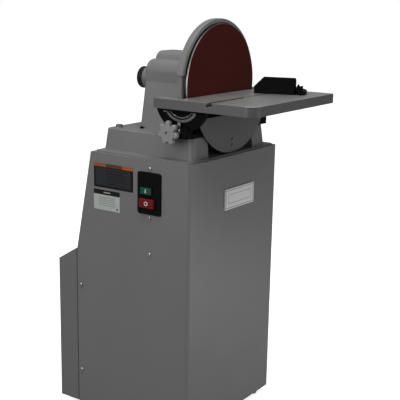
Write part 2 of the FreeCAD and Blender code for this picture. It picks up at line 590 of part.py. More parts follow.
bores = [
    rod("pulley_room", ("0", "pulley_y - pulley_width / 2 - pulley_clear", AXIS), "+Y",
        "spindle_pitch + 4 + pulley_clear", "pulley_width + 2 * pulley_clear"),
    rod("hub_well", ("0", "-column_front - 1", AXIS), "+Y", "hub_radius + 3", "casting_wall + 1"),
    rod("front_seat", ("0", FRONT_BEARING, AXIS), "+Y", "bearing_radius", "bearing_width"),
    rod("shaft_way", ("0", "-column_front + 1", AXIS), "+Y", "spindle_radius + 6", column_depth),
    rod("rear_seat", ("0", REAR_BEARING, AXIS), "+Y", "bearing_radius",
        "bearing_width + casting_wall"),
]
CAP_SCREWS = [("(cap_radius - cap_screw_in) * cos(%d)" % a,
               "%s + (cap_radius - cap_screw_in) * sin(%d)" % (AXIS, a)) for a in (45, 135, 225, 315)]
cap_taps = [rod("cap_tap_%d" % i, (x, "column_back - 10", z), "+Y", "3.05", "12") for i,
            (x, z) in enumerate(CAP_SCREWS)]
node(cut("column", bossed, *(bores + cap_taps)), "column")


def bearing(name, y):
    outer = rod(name + "_o", ("0", y, AXIS), "+Y", "bearing_radius - 0.02", "bearing_width")
    inner = rod(name + "_i", ("0", "%s - 1" % y, AXIS), "+Y", "spindle_radius + running_gap",
                "bearing_width + 2")
    groove = cut(name + "_g",
                 rod(name + "_go", ("0", "%s - 1" % y, AXIS), "+Y", "bearing_radius - 5", "2.5"),
                 rod(name + "_gi", ("0", "%s - 2" % y, AXIS), "+Y", "spindle_radius + 5", "5"))
    return cut(name, outer, inner, groove)


node(group("spindle_bearings", bearing("front_bearing", FRONT_BEARING),
           bearing("rear_bearing", REAR_BEARING)),
     "spindle_bearings")
cap_plate = rod("cap_plate", ("0", "column_back", AXIS), "+Y", "cap_radius", "cap_thick")
cap_snout = rod("cap_snout", ("0", "column_back", AXIS), "+Y", "snout_radius", "cap_thick + snout_length")
cap_soft = rounded("cap_soft", fuse("cap_raw", cap_plate, cap_snout), "2.5",
                   lambda e: round_edge(e) and e.BoundBox.YMin > value("column_back") + 1)
node(cut("rear_bearing_cap", cap_soft,
         rod("cap_bore", ("0", "column_back - 1", AXIS), "+Y", "tail_radius + running_gap",
             "cap_thick + snout_length + 2"),
         rod("cap_relief", ("0", "column_back - 1", AXIS), "+Y", "bearing_radius - 4", "cap_thick"),
         *[rod("cap_hole_%d" % i, (x, "column_back - 1", z), "+Y", "3.2", "cap_thick + 2")
           for i, (x, z) in enumerate(CAP_SCREWS)]), "rear_bearing_cap")
copies("cap_screws", hex_bolt("cap_screw", "3", "cap_thick + 7"),
       [(x, CAP_FACE, z) for x, z in CAP_SCREWS],
       "+Y")

# ---------------------------------------------------------------- spindle, disc and rear knob
hub_end = "(-disc_face + paper_thick + plate_thick + hub_length)"
spindle_main = rod("spindle_main", ("0", "-disc_face + paper_thick + 3", AXIS), "+Y", "spindle_radius",
                   "column_back - casting_wall + 6 + disc_face - paper_thick - 3")
spindle_tail = rod("spindle_tail", ("0", "column_back - casting_wall", AXIS), "+Y", "tail_radius",
                   "casting_wall + cap_thick + snout_length + knob_length - 2")
node(fuse("spindle", spindle_main, spindle_tail), "spindle")

plate = rod("plate", ("0", "-disc_face + paper_thick", AXIS), "+Y", "disc_radius", "plate_thick")
hub = rod("hub", ("0", "-disc_face + paper_thick", AXIS), "+Y", "hub_radius", "plate_thick + hub_length")
plate_soft = rounded("plate_soft", plate, "1", lambda e: e.BoundBox.YMax > value(PLATE_BACK) - 0.1)
node(cut("disc_plate", fuse("plate_and_hub", plate_soft, hub),
         rod("hub_bore", ("0", "-disc_face + paper_thick + 3", AXIS), "+Y", "spindle_radius + 0.02",
             "60")),
     "disc_plate")
node(rod("abrasive_disc", ("0", "-disc_face", AXIS), "+Y", "disc_radius - 0.4", "paper_thick"),
     "abrasive_disc")

knob_turned = rod("knob_turned", ("0", "%s + 0.4" % SNOUT_END, AXIS), "+Y", "knob_radius", "knob_length")
knob_soft = rounded("knob_soft", knob_turned, "3", round_edge)
flutes = [rod("flute_%d" % i, ("(knob_radius + 1.4) * cos(%f)" % a, "%s - 1" % SNOUT_END,
                              "%s + (knob_radius + 1.4) * sin(%f)" % (AXIS, a)), "+Y", "2.6",
                              "knob_length + 4")
          for i, a in enumerate(n * 360 / value("knob_flutes") for n in range(int(value("knob_flutes"))))]
node(cut("rear_knob", knob_soft,
         rod("knob_bore", ("0", "%s - 1" % SNOUT_END, AXIS), "+Y", "tail_radius + 0.02",
                                     "knob_length - 0.6"), *flutes), "rear_knob")

# ---------------------------------------------------------------- disc housing, guard, lower cover
housing_low = slab("housing_low", "XZ_Plane",
                   [("-housing_foot_half", BASE_TOP), ("housing_foot_half", BASE_TOP),
                    ("housing_half", "%s + housing_top_rise" % AXIS),
                    ("-housing_half", "%s + housing_top_rise" % AXIS)],
                   "-column_front - %s" % HOUSING_FRONT, "column_front")
housing_disc = rod("housing_disc", ("0", HOUSING_FRONT, AXIS), "+Y", "housing_top_radius",
                   "-column_front - %s" % HOUSING_FRONT)
above_base = span("above_base", ("-guard_outer", "guard_outer"), ("-disc_face", "0"),
                  (BASE_TOP, "%s + guard_outer" % AXIS))
housing_top = common("housing_top", housing_disc, above_base)
above_ends = span("above_ends", ("-guard_outer - 1", "guard_outer + 1"), ("-guard_front - 2", "0"),
                  ("%s + guard_end_rise" % AXIS, "%s + guard_outer + 1" % AXIS))
flange_seat = common("flange_seat", above_ends,
                     cut("flange_seat_ring",
                         rod("seat_o", ("0", "-column_front - guard_flange", AXIS), "+Y", "guard_outer",
                             "20"),
                         rod("seat_i", ("0", "-column_front - guard_flange - 1", AXIS), "+Y",
                             "guard_inner - flange_reach - 0.3", "22")))
GUARD_ANGLES = (22, 65, 115, 158)
GUARD_SCREWS = [("(guard_inner - 9) * cos(%d)" % a, "%s + (guard_inner - 9) * sin(%d)" % (AXIS, a))
                for a in GUARD_ANGLES]
node(cut("disc_housing", fuse("housing_raw", housing_low, housing_top),
         rod("hub_pass", ("0", "-disc_face", AXIS), "+Y", "hub_radius + 3", "60"), flange_seat,
         *[rod("housing_tap_%d" % i, (x, "-column_front - 11", z), "+Y", "2.7", "12")
           for i, (x, z) in enumerate(GUARD_SCREWS)]), "disc_housing")

guard_ring = cut("guard_ring",
                 rod("guard_o", ("0", "-guard_front", AXIS), "+Y", "guard_outer",
                     "guard_front - column_front"),
                 rod("guard_i", ("0", "-guard_front - 1", AXIS), "+Y", "guard_inner - flange_reach",
                     "guard_front"),
                 rod("guard_mouth", ("0", "-guard_front - 1", AXIS), "+Y", "guard_inner",
                     "guard_front - column_front - guard_flange + 1"))
guard_band = cut("guard_band", common("guard_half", guard_ring, above_ends),
                 *[rod("guard_hole_%d" % i, (x, "-column_front - 9", z), "+Y", "2.7", "12")
                   for i, (x, z) in enumerate(GUARD_SCREWS)])
guard_soft = rounded("guard_soft", guard_band, "2",
                     lambda e: round_edge(e) and e.Curve.Radius > value("guard_outer") - 1)
node(guard_soft, "upper_guard")

LID_SCREWS = [("0", "%s + 18" % TRAY_TOP), ("0", "%s + 34" % TRAY_TOP)]
lid_disc = rod("lid_disc", ("0", "-lid_back - lid_thick", AXIS), "+Y", "lid_radius", "lid_thick")
lid_zone = span("lid_zone", ("-lid_half", "lid_half"), ("-lid_back - 20", "-lid_back + 20"),
                ("%s - 200" % AXIS, "%s - lid_drop" % AXIS))
node(cut("lower_disc_cover", common("lid_shape", lid_disc, lid_zone),
         *[rod("lid_pass_%d" % i, (x, "-lid_back - 5", z), "+Y", "2.7", "10") for i,
           (x, z) in enumerate(LID_SCREWS)]),
     "lower_disc_cover")
bracket_l = fuse("lid_bracket_l",
                 span("lid_foot", ("-lid_bracket_half", "lid_bracket_half"),
                      ("-lid_back + lid_gap", "-lid_back + lid_foot_long"),
                      (TRAY_TOP, "%s + lid_bracket_thick" % TRAY_TOP)),
                 span("lid_post", ("-lid_post_half", "lid_post_half"),
                      ("-lid_back + lid_gap", "-lid_back + lid_gap + lid_bracket_thick"),
                      (TRAY_TOP, "%s + lid_bracket_rise" % TRAY_TOP)))
node(cut("lower_cover_bracket", bracket_l, *(lid_bolt_holes + [
    rod("lid_tap_%d" % i, (x, "-lid_back - 1", z), "+Y", "2.6", "10") for i,
    (x, z) in enumerate(LID_SCREWS)])),
    "lower_cover_bracket")
node(group("cover_screws",
           *repeated("guard_screw_at", PANEL_SCREW, [(x, "-column_front", z) for x, z in GUARD_SCREWS],
                     "+Y"),
           *repeated("lid_screw_at", PANEL_SCREW,
                     [(x, "-lid_back - lid_thick", z) for x, z in LID_SCREWS],
                     "-Y")), "cover_screws")
copies("bracket_foot_bolts", hex_bolt("lid_bolt", "4", "12"),
       [(x, y, "%s + lid_bracket_thick" % TRAY_TOP) for x, y in LID_BOLTS],
       "+Z")

# ---------------------------------------------------------------- table
table_half = "(table_width / 2)"
table_outline = [("-" + table_half, "-table_front"), (table_half, "-table_front"),
                 (table_half, "-table_back"),
                 ("notch_half", "-table_back"), ("notch_half", TILT_Y), ("-notch_half", TILT_Y),
                 ("-notch_half", "-table_back"), ("-" + table_half, "-table_back")]
table_pad = slab("table_pad", "XY_Plane", table_outline, "table_thick", TABLE_BOTTOM)
table_near = rounded("table_near", table_pad, "table_corner",
                     lambda e: along("z")(e) and e.BoundBox.YMax < -value("table_front") + 1
                     and e.BoundBox.XMax < 0)
table_round = rounded("table_round", table_near, "table_far_corner",
                      lambda e: along("z")(e) and e.BoundBox.YMax < -value("table_front") + 1
                      and e.BoundBox.XMin > 0)
table_eased = rounded("table_eased", table_round, "1.2",
                      lambda e: abs(e.BoundBox.ZMin - value(TABLE_TOP)) < 0.1
                      and e.BoundBox.ZMax - e.BoundBox.ZMin < 0.1 and e.BoundBox.YMax < value(TILT_Y) + 80
                      and abs(e.BoundBox.YMax - value(TILT_Y)) > 0.5)
pocket = span("table_pocket", ("-pocket_half", "pocket_half"),
              ("-table_front + table_rim", "%s + 5" % TILT_Y),
              ("%s - 1" % TABLE_BOTTOM, "%s - table_web" % TABLE_TOP))
bevel = slab("table_bevel", "YZ_Plane",
             [("%s + 1" % TILT_Y, "%s - edge_land" % TABLE_TOP), (TILT_Y, "%s - edge_land" % TABLE_TOP),
              ("%s - bevel_slope * (table_thick - edge_land + 1)" % TILT_Y, "%s - 1" % TABLE_BOTTOM),
              ("%s + 1" % TILT_Y, "%s - 1" % TABLE_BOTTOM)], "2 * notch_half", midplane=True)
rib = span("slot_rib_box", ("-pocket_half - 5", "pocket_half + 5"),
           ("%s - slot_rib / 2" % SLOT_Y, "%s + slot_rib / 2" % SLOT_Y),
           ("%s - slot_rib_thick" % TABLE_TOP, "%s - table_web + 1" % TABLE_TOP))
cross_ribs = [span("cross_rib_%d" % i, ("%d - 4" % x, "%d + 4" % x),
                   ("-table_front + table_rim - 1", "%s - slot_rib / 2 + 6" % SLOT_Y),
                   ("%s - 17" % TABLE_TOP, "%s - table_web + 1" % TABLE_TOP)) for i,
                   x in enumerate((-75, 0, 75))]
slot_top = span("slot_top", ("-%s - 1" % table_half, "%s + 1" % table_half),
                ("%s - slot_neck / 2" % SLOT_Y, "%s + slot_neck / 2" % SLOT_Y),
                ("%s - slot_deep" % TABLE_TOP, "%s + 1" % TABLE_TOP))
slot_low = span("slot_low", ("-%s - 1" % table_half, "%s + 1" % table_half),
                ("%s - slot_width / 2" % SLOT_Y, "%s + slot_width / 2" % SLOT_Y),
                ("%s - slot_deep" % TABLE_TOP, "%s - slot_neck_deep" % TABLE_TOP))
FLANGE_BOLTS = [("flange_bolt_x", "%s + %d * flange_bolt_y" % (TILT_Y, s)) for s in (-1, 1)]
flange_taps = [rod("flange_tap_%d%d" % (i, side + 1),
                   ("%d * %s" % (side, x), y, "%s - 1" % TABLE_BOTTOM), "+Z",
                   "2.55", "15") for i, (x, y) in enumerate(FLANGE_BOLTS) for side in (-1, 1)]
ribbed = fuse("table_ribbed", cut("table_hollow", table_eased, pocket, bevel), rib, *cross_ribs)
node(cut("table", ribbed, slot_top, slot_low, *flange_taps), "table")


def trunnion(side):
    """Half-round trunnion with its bolting flange, under one end of the table."""
    tag = "left" if side < 0 else "right"
    low_x = "-trunnion_inner - trunnion_thick" if side < 0 else "trunnion_inner"
    disc = rod("trunnion_disc_" + tag, (low_x, TILT_Y, TABLE_TOP), "+X", "trunnion_radius",
               "trunnion_thick")
    below = span("trunnion_below_" + tag, ("%s - 1" % low_x, "%s + trunnion_thick + 1" % low_x),
                 ("%s - 100" % TILT_Y, "%s + 100" % TILT_Y),
                 ("%s - 100" % TABLE_TOP, "%s - 0.5" % TABLE_BOTTOM))
    half = common("trunnion_half_" + tag, disc, below)
    face_x = "-trunnion_inner - trunnion_thick - 1" if side < 0 else "trunnion_inner + trunnion_thick - 3"
    hollow = rod("trunnion_hollow_" + tag, (face_x, TILT_Y, TABLE_TOP), "+X", "hollow_radius", "4")
    edges = ("-flange_out", "-flange_in") if side < 0 else ("flange_in", "flange_out")
    flange = span("trunnion_flange_" + tag, edges,
                  ("%s - flange_half" % TILT_Y, "%s + flange_half" % TILT_Y),
                  ("%s - flange_thick" % TABLE_BOTTOM, TABLE_BOTTOM))
    flange_soft = rounded("trunnion_flange_soft_" + tag, flange, "6", along("z"))
    holes = [hole("flange_hole_%s%d" % (tag, i), ("%d * %s" % (side, x), y, "%s - 8" % TABLE_BOTTOM),
                  "+Z", "2.5", "12")
             for i, (x, y) in enumerate(FLANGE_BOLTS)]
    whole = fuse("trunnion_whole_" + tag, half, flange_soft)
    return node(cut("trunnion_" + tag, whole, hollow, *holes), "trunnion_" + tag)


trunnion(-1)
trunnion(1)
left_face = "(-trunnion_inner - trunnion_thick)"
node(group("trunnion_wear_rings",
           ring_x("wear_ring_left", "(%s - ring_proud)" % left_face, "ring_proud", "ring_inner",
                  "ring_outer"),
           ring_x("wear_ring_right", "(trunnion_inner + trunnion_thick)", "ring_proud", "ring_inner",
                  "ring_outer")),
     "trunnion_wear_rings")
node(ring_x("tilt_scale", "(%s - scale_proud)" % left_face, "scale_proud", "scale_inner", "scale_outer"),
     "tilt_scale")
node(group("trunnion_bolts", *[fuse("flange_bolt_%d%d" % (i, side + 1),
                                    prism("flange_head_%d%d" % (i, side + 1),
                                          ("%d * %s" % (side, x), y, "%s - flange_thick" % TABLE_BOTTOM),
                                          "-Z", "4.5", "3.6"),
                                    rod("flange_shank_%d%d" % (i, side + 1),
                                        ("%d * %s" % (side, x), y, "%s - flange_thick" % TABLE_BOTTOM),
                                        "+Z", "2.5", "14"))
                               for i, (x, y) in enumerate(FLANGE_BOLTS) for side in (-1, 1)]),
                               "trunnion_bolts")

# ---------------------------------------------------------------- trunnion brackets and lock knobs
LOCK = ("-lock_y", "(%s + lock_rise)" % BASE_TOP)


def bracket(side):
    """Forked bracket on the base that holds the trunnion's rim and is pinched by the lock stud."""
    tag = "left" if side < 0 else "right"
    limits = ("-cheek_out", "-cheek_in") if side < 0 else ("cheek_in", "cheek_out")
    block = span("bracket_block_" + tag, limits, ("-bracket_front", "-bracket_back"),
                 (BASE_TOP, "%s + bracket_rise" % BASE_TOP))
    block_soft = rounded("bracket_soft_" + tag, block, "4",
                         lambda e: along("z")(e) and abs(e.BoundBox.XMin) > value("cheek_in") + 1)
    foot_limits = ("-cheek_in - 1", "-bracket_foot_in") if side < 0 else ("bracket_foot_in",
            "cheek_in + 1")
    foot = span("bracket_foot_" + tag, foot_limits, ("-bracket_front", "-bracket_foot_back"),
                (BASE_TOP, "%s + bracket_foot_rise" % BASE_TOP))
    groove_x = "-trunnion_inner - trunnion_thick - cheek_gap" if side < 0 else "trunnion_inner - cheek_gap"
    groove = rod("bracket_groove_" + tag, (groove_x, TILT_Y, TABLE_TOP), "+X",
                 "trunnion_radius + cheek_gap",
                 "trunnion_thick + 2 * cheek_gap")
    stud_way = rod("stud_way_" + tag, ("%s - 1" % limits[0], LOCK[0], LOCK[1]), "+X",
                   "stud_radius + running_gap", "60")
    taps = [hole("bracket_hole_%s%d" % (tag, i), ("%d * (%s)" % (side, x), y, "%s - 1" % BASE_TOP), "+Z",
                 "4", "14")
            for i, (x, y) in enumerate(BRACKET_BOLTS)]
    whole = fuse("bracket_whole_" + tag, block_soft, foot)
    return node(cut("trunnion_bracket_" + tag, whole, groove, stud_way, *taps), "trunnion_bracket_" + tag)


def lock_knob(side):
    """Star knob cast round its stud; it pinches the bracket when turned."""
    tag = "left" if side < 0 else "right"
    low_x = "-lock_out" if side < 0 else "lock_out - lock_thick"
    lobes = []
    for number in range(int(value("lobe_count"))):
        turn = 360.0 * number / value("lobe_count") + 90
        spot = ("%s + 2" % low_x, "%s + (lock_radius - lobe_radius) * cos(%f)" % (LOCK[0], turn),
                "%s + (lock_radius - lobe_radius) * sin(%f)" % (LOCK[1], turn))
        lobe = rod("lobe_%s%d" % (tag, number), spot, "+X", "lobe_radius", "lock_thick - 4")
        lobes.append(rounded("lobe_soft_%s%d" % (tag, number), lobe, "lobe_edge", round_edge))
    core = rod("lock_core_" + tag, (low_x + " + 1", LOCK[0], LOCK[1]), "+X", "lock_radius - lock_web",
               "lock_thick - 2")
    hub_x = "-lock_out" if side < 0 else "cheek_out + lock_gap"
    hub_part = rod("lock_hub_" + tag, (hub_x, LOCK[0], LOCK[1]), "+X", "lock_hub / 2",
                   "lock_out - cheek_out - lock_gap")
    socket = rod("lock_socket_" + tag,
                 ("-lock_out - 1" if side < 0 else "lock_out - 5", LOCK[0], LOCK[1]), "+X", "4.6", "6")
    bore_x = "-lock_out + lock_blind" if side < 0 else "cheek_out - 1"
    bore = rod("lock_bore_" + tag, (bore_x, LOCK[0], LOCK[1]), "+X", "stud_radius",
               "lock_out - lock_blind - cheek_out + 1")
    star = fuse("lock_star_" + tag, core, hub_part, *lobes)
    node(cut("lock_knob_" + tag, star, socket, bore), "lock_knob_" + tag)
    stud_low = "-lock_out + lock_blind" if side < 0 else "cheek_in - stud_proud"
    node(rod("lock_stud_" + tag, (stud_low, LOCK[0], LOCK[1]), "+X", "stud_radius",
             "lock_out - lock_blind - cheek_in + stud_proud"), "lock_stud_" + tag)


for hand in (-1, 1):
    bracket(hand)
    lock_knob(hand)
copies("bracket_bolts", hex_bolt("bracket_bolt", "4", "22"),
       [("%d * (%s)" % (side, x), y, "%s + bracket_foot_rise" % BASE_TOP)
        for x, y in BRACKET_BOLTS for side in (-1, 1)], "+Z")
pointer_arm = span("pointer_arm", ("-cheek_out - 1.5", "-cheek_out"),
                   ("%s - 4" % TILT_Y, "%s + 4" % TILT_Y),
                   ("%s + 12" % BASE_TOP, "%s + bracket_rise + 10" % BASE_TOP))
pointer_head = group("pointer_head", cross_screw("pointer_screw", "2", "1.4"))
place(pointer_head, ("-cheek_out - 1.5", TILT_Y, "%s + 20" % BASE_TOP), "-X")
node(fuse("tilt_pointer", pointer_arm, pointer_head), "tilt_pointer")

# ---------------------------------------------------------------- mitre gauge
bar_z = "(%s - slot_deep + bar_fit)" % TABLE_TOP
bar_top = "(%s - bar_sunk)" % TABLE_TOP
bar_low = span("bar_low", ("gauge_x - bar_left", "gauge_x + bar_right"),
               ("%s - slot_width / 2 + bar_fit" % SLOT_Y, "%s + slot_width / 2 - bar_fit" % SLOT_Y),
               (bar_z, "%s - slot_neck_deep - bar_fit" % TABLE_TOP))
bar_up = span("bar_up", ("gauge_x - bar_left", "gauge_x + bar_right"),
              ("%s - slot_neck / 2 + bar_fit" % SLOT_Y, "%s + slot_neck / 2 - bar_fit" % SLOT_Y),
              (bar_z, bar_top))

# The head is drawn square to the bar round its own pivot, then turned by gauge_angle.
head_z = "(%s + head_lift)" % TABLE_TOP
fence_plan = slab("fence_plan", "YZ_Plane",
                  [("-fence_far", "0"), ("fence_near", "0"),
                   ("fence_near", "fence_height - fence_chamfer"),
                   ("fence_near - fence_chamfer", "fence_height"),
                   ("-fence_far + fence_chamfer * 0.6", "fence_height"),
                   ("-fence_far", "fence_height - fence_chamfer")], "fence_thick", "-fence_face")
fan = rod("fan", ("0", "0", "0"), "+Z", "head_radius", "head_thick")
fan_zone = span("fan_zone", ("-fence_face + 1", "head_radius"), ("-head_radius", "fence_near"),
                ("-1", "head_thick + 1"))
stop_lug = span("stop_lug", ("-fence_face + 1", "-fence_face + 24"),
                ("-fence_far - 3", "-fence_far + 12"),
                ("0", "head_thick + head_lug"))
web_box = span("head_web", ("-fence_face + fence_thick - 1", "6"), ("-6", "6"), ("0", "head_thick + 6"))
boss = rod("head_boss", ("0", "0", "0"), "+Z", "head_boss", "head_thick + head_boss_rise")
arc_slot = cut("arc_slot",
               rod("arc_o", ("0", "0", "-1"), "+Z", "head_radius - arc_rim", "40"),
               rod("arc_i", ("0", "0", "-2"), "+Z", "head_radius - arc_rim - arc_width", "42"),
               span("arc_keep", ("0", "head_radius"), ("-55", "fence_near - 14"), ("-3", "42")))
head_raw = cut("head_raw", fuse("head_whole", fence_plan, common("fan_part", fan, fan_zone), stop_lug,
                                boss, web_box), arc_slot,
               rod("head_bore", ("0", "0", "-1"), "+Z", "pivot_radius + running_gap", "60"))
turned_head = doc.addObject("Part::Compound", "turned_head")
turned_head.Links = [head_raw]
turned_head.Placement.Rotation = Rotation(Vector(0, 0, 1), value("gauge_angle"))
for letter, text in zip("xyz", ("gauge_x", SLOT_Y, head_z)):
    turned_head.setExpression("Placement.Base." + letter, on_sheet(text))
node(turned_head, "mitre_head")
bar_pivot = rod("bar_pivot", ("gauge_x", SLOT_Y, bar_z), "+Z", "pivot_radius",
                "%s - %s + head_thick + 6" % (head_z, bar_z))
node(fuse("mitre_bar", bar_low, bar_up, bar_pivot), "mitre_bar")
knob_z = "(%s + head_thick + 6.3)" % head_z
gauge_knob_raw = fuse("gauge_knob_raw", rod("gauge_neck", ("gauge_x", SLOT_Y, knob_z), "+Z", "8", "10"),
                      rod("gauge_grip", ("gauge_x", SLOT_Y, "%s + 8" % knob_z), "+Z", "gauge_knob_radius",
                          "gauge_knob_rise - 8"))
node(rounded("mitre_knob", gauge_knob_raw, "3",
             lambda e: e.Curve.TypeId == "Part::GeomCircle" and e.Curve.Radius > 10), "mitre_knob")

# ---------------------------------------------------------------- switch, plates and gland
side_x = "(-%s)" % STAND_HALF
switch_raw = span("switch_raw", ("%s - switch_thick" % side_x, side_x),
                  ("-switch_y - switch_width / 2", "-switch_y + switch_width / 2"),
                  ("switch_z - switch_height / 2", "switch_z + switch_height / 2"))
switch_corners = rounded("switch_corners", switch_raw, "switch_corner", along("x"))
switch_soft = rounded("switch_soft", switch_corners, "1.5",
                      lambda e: e.BoundBox.XMax < value("%s - switch_thick" % side_x) + 0.1)


def window(tag, fit):
    """The opening in the switch plate for one button."""
    return span("window_" + tag, ("%s - switch_thick - 2" % side_x, "%s + 2" % side_x),
                ("-%s_y - %s_width / 2 - %s" % (tag, tag, fit),
                 "-%s_y + %s_width / 2 + %s" % (tag, tag, fit)),
                ("%s_z - %s_height / 2 - %s" % (tag, tag, fit),
                 "%s_z + %s_height / 2 + %s" % (tag, tag, fit)))


node(cut("switch_plate", switch_soft, window("start", "button_fit"), window("stop", "button_fit")),
     "switch_plate")
box_outer = span("box_outer", (side_x, "%s + box_depth" % side_x),
                 ("-switch_y - switch_width / 2 + box_side", "-switch_y + switch_width / 2 - box_side"),
                 ("switch_z - switch_height / 2 + box_end", "switch_z + switch_height / 2 - box_end"))
box_inner = span("box_inner", ("%s - 1" % side_x, "%s + box_depth - 2" % side_x),
                 ("-switch_y - switch_width / 2 + box_side + box_wall_y",
                  "-switch_y + switch_width / 2 - box_side - box_wall_y"),
                 ("switch_z - switch_height / 2 + box_end + box_wall_z",
                  "switch_z + switch_height / 2 - box_end - box_wall_z"))
node(cut("switch_box", box_outer, box_inner), "switch_box")


def button(tag):
    """A button cap that slides through its window into the switch box."""
    cap = span(tag + "_cap", ("%s - switch_thick - %s_proud" % (side_x, tag), "%s + 12" % side_x),
               ("-%s_y - %s_width / 2" % (tag, tag), "-%s_y + %s_width / 2" % (tag, tag)),
               ("%s_z - %s_height / 2" % (tag, tag), "%s_z + %s_height / 2" % (tag, tag)))
    soft = rounded(tag + "_soft", cap, "2", along("x"))
    return node(rounded(tag + "_button", soft, "1.2",
                        lambda e: e.BoundBox.XMax < value("%s - switch_thick - %s_proud" % (side_x,
                                tag)) + 0.1),
                tag + "_button")


button("start")
button("stop")


def side_plate(tag, proud):
    plate_box = span(tag + "_box", ("%s - %s" % (side_x, proud), side_x),
                     ("%s_y - %s_width / 2" % (tag, tag), "%s_y + %s_width / 2" % (tag, tag)),
                     ("%s_z - %s_height / 2" % (tag, tag), "%s_z + %s_height / 2" % (tag, tag)))
    return node(rounded(tag + "_plate", plate_box, "2", along("x")), tag + "_plate")


side_plate("upper_label", "plate_thick_thin")
side_plate("lower_label", "plate_thick_thin")
badge_box = span("badge_box", ("badge_x - badge_width / 2", "badge_x + badge_width / 2"),
                 ("-stand_front - badge_thick", "-stand_front"),
                 ("badge_z - badge_height / 2", "badge_z + badge_height / 2"))
node(rounded("front_plate", badge_box, "2", along("y")), "front_plate")
gland_nut = prism("gland_nut", (STAND_HALF, *GLAND), "+X", "gland_nut_radius", "gland_nut")
gland_body = rod("gland_body", ("%s - gland_half" % STAND_HALF, *GLAND), "+X", "gland_radius",
                 "2 * gland_half")
gland_bore = rod("gland_bore", ("%s - gland_half - 1" % STAND_HALF, *GLAND), "+X", "gland_bore_radius",
                 "2 * gland_half + 2")
gland_in = prism("gland_in", ("%s - sheet" % STAND_HALF, *GLAND), "-X", "gland_nut_radius",
                 "gland_lock_nut")
node(cut("cord_gland", fuse("gland_whole", gland_nut, gland_body, gland_in), gland_bore), "cord_gland")

# ---------------------------------------------------------------- drive inside the stand


BELT_LEAN = value("(belt_top - belt_bottom) / (2 * belt_deep)")


def vee_wheel(tag, centre_z, pitch, bore_radius):
    """A pulley with one V groove, on a shaft along Y."""
    rim = rod(tag + "_rim", ("0", "pulley_y - pulley_width / 2", centre_z), "+Y", "%s + 4" % pitch,
              "pulley_width")
    bore = rod(tag + "_bore", ("0", "pulley_y - pulley_width", centre_z), "+Y", bore_radius,
               "2 * pulley_width")
    outer, inner = value("%s + 5" % pitch), value("%s + belt_proud - belt_deep - 1" % pitch)
    floor = value("%s + belt_proud - belt_deep" % pitch)
    wide = [value("belt_bottom / 2 + belt_fit") + BELT_LEAN * (radius - floor)
            for radius in (inner, outer)]
    wire = Part.makePolygon([Vector(inner, -wide[0], 0), Vector(outer, -wide[1], 0),
                             Vector(outer, wide[1], 0),
                             Vector(inner, wide[0], 0), Vector(inner, -wide[0], 0)])
    vee = doc.addObject("Part::Feature", tag + "_vee")
    vee.Shape = Part.Face(wire).revolve(Vector(), Vector(0, 1, 0), 360)
    vee.Placement.Base = Vector(0, value("pulley_y"), value(centre_z))
    return node(cut(tag, rim, bore, vee), tag)


vee_wheel("spindle_pulley", AXIS, "spindle_pitch", "spindle_radius + 0.02")
vee_wheel("motor_pulley", "motor_z", "motor_pitch", "shaft_radius + 0.02")


def belt_loop(grow):
    """Outline of the belt at a distance from the pitch line: two arcs and two tangents."""
    up, low = value("spindle_pitch") + grow, value("motor_pitch") + grow
    centre_up, centre_low = value(AXIS), value("motor_z")
    lean = math.asin((up - low) / (centre_up - centre_low))
    reach = Vector(math.cos(lean), 0, math.sin(-lean))
    a = Vector(0, 0, centre_up) + reach * up
    b = Vector(0, 0, centre_low) + reach * low
    c, d = Vector(-b.x, 0, b.z), Vector(-a.x, 0, a.z)
    return Part.Wire([Part.LineSegment(a, b).toShape(),
                      Part.Arc(b, Vector(0, 0, centre_low - low), c).toShape(),
                      Part.LineSegment(c, d).toShape(),
                      Part.Arc(d, Vector(0, 0, centre_up + up), a).toShape()])


path = belt_loop(0)
start = path.OrderedVertexes[0].Point
top_half, low_half = value("belt_top / 2"), value("belt_bottom / 2")
outward = Vector(start.x, 0, start.z - value(AXIS)).normalize()
high = start + outward * value("belt_proud")
low = start + outward * value("belt_proud - belt_deep")
section = Part.makePolygon([high + Vector(0, top_half, 0), high - Vector(0, top_half, 0),
                            low - Vector(0, low_half, 0), low + Vector(0, low_half, 0),
                            high + Vector(0, top_half, 0)])
belt = doc.addObject("Part::Feature", "drive_belt")
belt.Shape = path.makePipeShell([section], True, False)
belt.Placement.Base = Vector(0, value("pulley_y"), 0)
node(belt, "drive_belt")

motor_span = "(motor_back - motor_front)"
stator = rod("stator", ("0", "motor_front + bell_length", "motor_z"), "+Y", "motor_radius",
             "%s - 2 * bell_length" % motor_span)
node(cut("motor_housing", stator,
         rod("stator_bore", ("0", "motor_front", "motor_z"), "+Y", "motor_radius - 8",
                                      motor_span)), "motor_housing")
bell_front = cut("bell_front", rod("bell_f", ("0", "motor_front", "motor_z"), "+Y", "motor_radius - 3",
                                   "bell_length"),
                 rod("bell_fi", ("0", "motor_front + 8", "motor_z"), "+Y", "motor_radius - 12",
                     "bell_length"),
                 rod("bell_fb", ("0", "motor_front - 1", "motor_z"), "+Y", "shaft_radius + running_gap",
                     "20"))
bell_rear = cut("bell_rear", rod("bell_r", ("0", "motor_back", "motor_z"), "-Y", "motor_radius - 3",
                                 "bell_length"),
                rod("bell_ri", ("0", "motor_back - 8", "motor_z"), "-Y", "motor_radius - 12",
                    "bell_length"),
                rod("bell_rb", ("0", "motor_back + 1", "motor_z"), "-Y", "shaft_radius + running_gap",
                    "20"))
node(group("motor_end_bells", bell_front, bell_rear), "motor_end_bells")
rotor = rod("rotor_core", ("0", "motor_front + bell_length + 10", "motor_z"), "+Y", "motor_radius - 30",
            "%s - 2 * bell_length - 20" % motor_span)
shaft = rod("rotor_shaft", ("0", "pulley_y - pulley_width / 2 - 2", "motor_z"), "+Y", "shaft_radius",
            "motor_back - 4 - pulley_y + pulley_width / 2 + 2")
